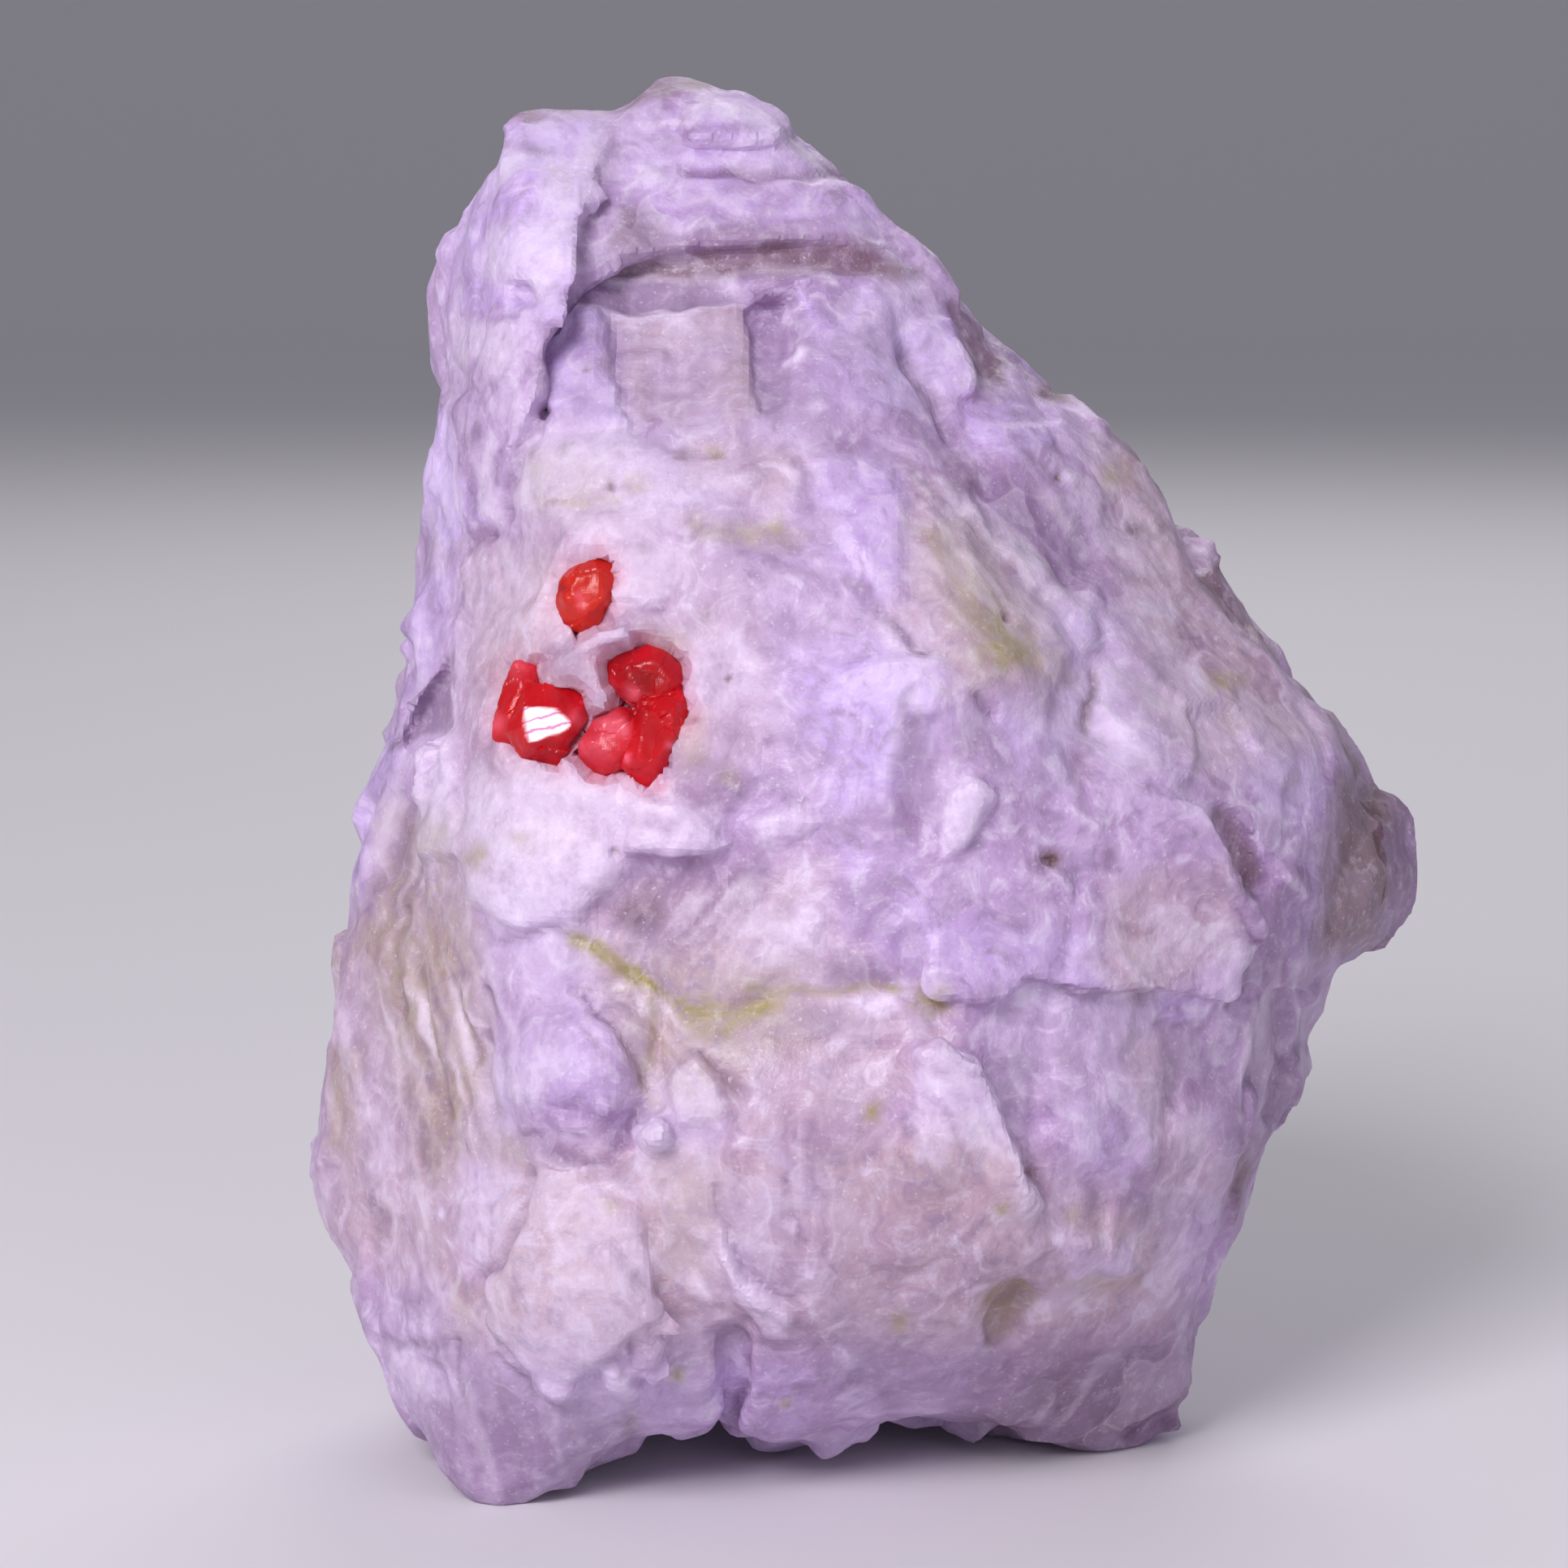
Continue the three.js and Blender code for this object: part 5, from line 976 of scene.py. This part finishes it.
def lay_patterns(tree, patterns):
    """The place on the piece that a material is painted at, and its noise patterns by name."""
    spot = add(tree, "ShaderNodeTexCoord").outputs["Object"]
    noises = {}
    for name, (size, detail, roughness, distortion) in patterns.items():
        noises[name] = add(tree, "ShaderNodeTexNoise", {
            "Vector": spot, "Scale": 1 / (size * MM), "Detail": detail, "Roughness": roughness,
            "Distortion": distortion,
        }).outputs["Fac"]
    return spot, noises


def end_material(tree, inputs, **settings):
    surface = add(tree, "ShaderNodeBsdfPrincipled", inputs, **settings)
    add(tree, "ShaderNodeOutputMaterial", {"Surface": surface.outputs["BSDF"]})


def veil(tree, body, pattern, start, full, strength, tint):
    """A tint laid over the body colour, from where a pattern starts to where it is full."""
    share = add(tree, "ShaderNodeMapRange", {
        "Value": pattern, "From Min": start, "From Max": full, "To Max": strength,
    }).outputs["Result"]
    over = add(tree, "ShaderNodeMix", {MIX_SHARE: share, MIX_UNDER: body, MIX_OVER: tint}, data_type="RGBA")
    return over.outputs[MIX_RESULT]


def stain(tree, body, name, pattern, strength, tint):
    """A stored tint laid over the body colour, thinned and thickened by a pattern."""
    uneven = add(tree, "ShaderNodeMapRange", {
        "Value": pattern, "To Min": STAIN_SPREAD[0] * strength, "To Max": STAIN_SPREAD[1] * strength,
    }, clamp=False).outputs["Result"]
    stored = add(tree, "ShaderNodeAttribute", attribute_name=name).outputs["Fac"]
    share = add(tree, "ShaderNodeMath", {0: uneven, 1: stored}, operation="MULTIPLY")
    return veil(tree, body, share.outputs[0], 0, 1, 1, tint)


def pushed_about(tree, spot):
    """A place moved by noise, so that what is drawn there isn't straight."""
    push = add(tree, "ShaderNodeTexNoise", {"Vector": spot, "Scale": 1 / (PUSH_SIZE * MM), "Detail": 1.0})
    middle = add(
        tree, "ShaderNodeVectorMath", {0: push.outputs["Color"], 1: (0.5, 0.5, 0.5)}, operation="SUBTRACT"
    ).outputs[0]
    scaled = add(
        tree, "ShaderNodeVectorMath", {0: middle, "Scale": PUSH_REACH * MM}, operation="SCALE"
    ).outputs[0]
    return add(tree, "ShaderNodeVectorMath", {0: spot, 1: scaled}, operation="ADD").outputs[0]


def marble():
    """Calcite marble, coarse and broken, never polished, lilac where light sinks into it.

    Each grain is a little clearer or milkier than the next. Light scatters just under the surface
    and softens every edge, fresh bruises and thin edges are nearly white, the clear parts look
    grey and mauve, and iron stains the seams olive and brown. Painted into the colour are also the
    lamp's light on the upper left, highlights on edges, glints, a red glow round the rubies, and
    shade in hollows, cracks, under ledges and where the stone turns from the light.
    """
    material, tree = start_material("broken calcite marble")
    spot, noises = lay_patterns(tree, MARBLE_PATTERNS)
    broad, veils, clumps, fine = (noises[name] for name in ("broad", "veils", "clumps", "fine"))
    grain = {"Vector": pushed_about(tree, spot), "Scale": 1 / (CRYSTAL_SIZE * MM)}
    crystals = add(tree, "ShaderNodeTexVoronoi", grain, feature="F1").outputs["Color"]
    seams = add(tree, "ShaderNodeTexVoronoi", grain, feature="DISTANCE_TO_EDGE").outputs["Distance"]

    body = veil(tree, colour(0xB695C4), broad, 0.35, 0.65, 1, colour(0xC3A5D2))
    body = stain(tree, body, "warm", broad, 0.95, colour(0xC2A5AB))
    # Violet tint: the stone's lilac, and painted light from the lamp on the upper left.
    body = stain(tree, body, "violet_and_lamp_light", veils, 0.9, colour(0xCAACEC))
    body = veil(tree, body, veils, 0.5, 0.75, 0.7, colour(0xDDC8EA))
    body = veil(tree, body, veils, 0.5, 0.3, 0.5, colour(0x957A9C))
    body = veil(tree, body, clumps, 0.53, 0.7, 0.6, colour(0xE6D8F0))
    body = veil(tree, body, clumps, 0.47, 0.3, 0.6, colour(0x907A9E))
    # Deep tint: clear mauve, and painted shade.
    body = stain(tree, body, "deep_and_shade", veils, 0.9, colour(0x785680))
    # Pale tint: whitish bruises and fibres, and painted highlights and glints.
    body = stain(tree, body, "pale_and_highlight", fine, 0.9, colour(0xE4D2EE))
    body = stain(tree, body, "olive", clumps, 1.25, colour(0x9C8E4C))
    # Brown tint: iron stain, and painted shade.
    body = stain(tree, body, "brown_and_shade", veils, 1.1, colour(0x664449))
    # Painted red glow from the rubies.
    body = stain(tree, body, "ruby_glow", veils, 0.9, colour(0xE39CB4))
    fibres = add(tree, "ShaderNodeAttribute", attribute_name="fibres").outputs["Fac"]
    body = veil(tree, body, fibres, 0.02, 0.6, 0.6, colour(0xE8DAEC))
    body = veil(tree, body, fibres, -0.03, -0.6, 0.55, colour(0x7F6480))
    body = veil(tree, body, crystals, 0.3, 1.0, 0.3, colour(0xE2D6EC))
    body = veil(tree, body, fine, 0.52, 0.76, 0.3, colour(0xEEE2F4))
    body = veil(tree, body, fine, 0.46, 0.26, 0.22, colour(0x8F7494))
    crackle = add(tree, "ShaderNodeMapRange", {
        "Value": veils, "From Min": 0.45, "From Max": 0.65, "To Max": 0.2,
    }).outputs["Result"]
    body = veil(tree, body, seams, 0.03, 0.0, crackle, colour(0xEDE2F2))
    # Painted sparkle: white specks that stand in for glints off single grains.
    body = veil(tree, body, noises["painted_sparkle"], 0.64, 0.8, 0.3, colour(0xF6EFF8))

    uneven = add(tree, "ShaderNodeMapRange", {"Value": crystals, "To Min": 0.38, "To Max": 0.66})
    bump = add(tree, "ShaderNodeBump", {"Height": fine, "Strength": 0.5, "Distance": 0.14 * MM})
    end_material(tree, {
        "Base Color": body, "Roughness": uneven.outputs["Result"], "IOR": 1.5,
        "Normal": bump.outputs["Normal"], "Subsurface Weight": 0.22,
        "Subsurface Radius": (1.0, 0.7, 1.0), "Subsurface Scale": 0.6 * MM,
    }, subsurface_method="BURLEY")
    return material


def ruby():
    """Ruby (corundum), crystals as they grew, whole but for small chips.

    The red is deep where the crystal is thick; pink highlights are painted where cracks inside catch the
    light. It glows from within, its faces are glassy, and one broad face mirrors the light, painted pale
    too.
    """
    material, tree = start_material("ruby crystal")
    spot, noises = lay_patterns(tree, RUBY_PATTERNS)
    cloudy = noises["cloudy"]
    orange = add(tree, "ShaderNodeAttribute", attribute_name="orange").outputs["Fac"]
    mirror_glare = add(tree, "ShaderNodeAttribute", attribute_name="mirror_glare").outputs["Fac"]
    body = veil(tree, colour(0xB2000E), cloudy, 0.35, 0.7, 1, colour(0xC8101E))
    body = veil(tree, body, orange, 0, 1, 0.85, colour(0xC22A08))
    body = stain(tree, body, "dark", cloudy, 1.0, colour(0x8C0008))
    # Painted pink highlights.
    body = stain(tree, body, "pink_highlight", cloudy, 0.8, colour(0xEA6A80))
    body = veil(tree, body, noises["flaws"], 0.62, 0.75, 0.3, colour(0xDC4050))
    slanted = add(tree, "ShaderNodeMapping", {"Vector": spot, "Rotation": (0, BAND_SLANT, 0)}).outputs[0]
    bands = add(tree, "ShaderNodeTexWave", {
        "Vector": slanted, "Scale": 1 / (BAND_SIZE * MM), "Distortion": 4.0, "Detail": 3.0,
        "Detail Scale": 2.0,
    }, bands_direction="Z").outputs["Fac"]
    # Painted reflection on the mirror face: pale pink with white bands.
    glare = veil(tree, colour(0xDC8CBC), bands, 0.02, 0.16, 1, colour(0xFFF2FA))
    body = veil(tree, body, mirror_glare, 0, 1, 1, glare)
    bump = add(tree, "ShaderNodeBump", {"Height": noises["fine"], "Strength": 0.3, "Distance": 0.04 * MM})
    end_material(tree, {
        "Base Color": body, "Roughness": 0.28, "IOR": 1.77, "Specular IOR Level": 0.2,
        "Normal": bump.outputs["Normal"], "Subsurface Weight": 0.35,
        "Subsurface Radius": (1.0, 0.1, 0.12), "Subsurface Scale": 0.7 * MM,
        "Emission Color": body, "Emission Strength": 0.12,
    }, subsurface_method="BURLEY")
    return material


def painted_board():
    """Matt painted board, one even colour so that nothing on it draws the eye."""
    material, tree = start_material("matt painted board")
    end_material(tree, {"Base Color": colour(0xE4E1E6), "Roughness": 0.8})
    return material


# The studio.

FLOOR_HALF_M = 1.6
WALL_HEIGHT_M = 2
SWEEP_M = 0.8

# Lights: place and size in metres, watts and tint. All of them look at the stone's middle.
LIGHTS = {
    "key": ((-0.13, -0.26, 0.22), 0.14, 0.96, 0xFFFAFF),
    "fill": ((0.2, -0.3, 0.12), 0.25, 0.16, 0xF4F2FF),
    "back": ((0.05, 0.3, 0.3), 0.25, 0.45, 0xFFFFFF),
}
STONE_MIDDLE = place(0, 21, 0)
WORLD_TINT = 0xDCDCE4
WORLD_STRENGTH = 0.35
SENSOR_WIDTH = 36


def sweep(bm):
    """A floor that curves up into a wall behind the stone."""
    bmesh.ops.create_grid(bm, x_segments=1, y_segments=1, size=FLOOR_HALF_M)
    rear = [edge for edge in bm.edges if all(vert.co.y > 0 for vert in edge.verts)]
    raised = bmesh.ops.extrude_edge_only(bm, edges=rear)["geom"]
    corners = [item for item in raised if isinstance(item, bmesh.types.BMVert)]
    bmesh.ops.translate(bm, verts=corners, vec=(0, 0, WALL_HEIGHT_M))
    fold = [edge for edge in bm.edges if len(edge.link_faces) == 2]
    bmesh.ops.bevel(bm, geom=fold, offset=SWEEP_M, segments=24, profile=0.5, affect="EDGES", material=-1)
    for face in bm.faces:
        face.smooth = True


def make_floor():
    mesh = bpy.data.meshes.new("floor")
    edit(mesh, sweep)
    floor = bpy.data.objects.new("floor", mesh)
    bpy.context.scene.collection.objects.link(floor)
    mesh.materials.append(painted_board())


def make_lights():
    for name, (where, size, power, tint) in LIGHTS.items():
        light = bpy.data.lights.new(name, "AREA")
        light.energy = power
        light.size = size
        light.color = colour(tint)[:3]
        lamp = bpy.data.objects.new(name, light)
        lamp.location = where
        lamp.rotation_euler = (STONE_MIDDLE - Vector(where)).to_track_quat("-Z", "Y").to_euler()
        bpy.context.scene.collection.objects.link(lamp)


def make_camera():
    camera = bpy.data.cameras.new("camera")
    camera.sensor_width = SENSOR_WIDTH
    camera.lens = SENSOR_WIDTH * VIEW_DISTANCE / VIEW_WIDTH
    camera.clip_start = 0.01
    camera.clip_end = 10
    eye = bpy.data.objects.new("camera", camera)
    eye.location = place(0, VIEW_HEIGHT, VIEW_DISTANCE)
    eye.rotation_euler = (math.radians(90) - VIEW_TILT, 0, 0)
    bpy.context.scene.collection.objects.link(eye)
    bpy.context.scene.camera = eye


def make_world():
    world = bpy.data.worlds.new("studio")
    bpy.context.scene.world = world
    world.use_nodes = True
    background = world.node_tree.nodes["Background"]
    background.inputs["Color"].default_value = colour(WORLD_TINT)
    background.inputs["Strength"].default_value = WORLD_STRENGTH


make_camera()
make_world()
make_floor()
make_lights()
bpy.context.scene.view_settings.view_transform = "Standard"

stone = fine_copy("matrix", "marble_block", STONE_VOXEL, 2)
turned_away = normals_of(stone.data) @ TOWARDS_VIEWER < BACK_ENDS
carve_stone(stone)
thin_out(stone, turned_away)
keep_in_box(stone)
stone.data.materials.append(marble())
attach(stone, "root")
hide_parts("matrix")

ruby_red = ruby()
for node in RUBY_NODES:
    crystal = fine_copy(node, f"{node}_crystal", RUBY_VOXEL, 1)
    grow_ruby(crystal, RUBY_ORANGE[node])
    crystal.data.materials.append(ruby_red)
    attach(crystal, "root")
    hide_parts(node)
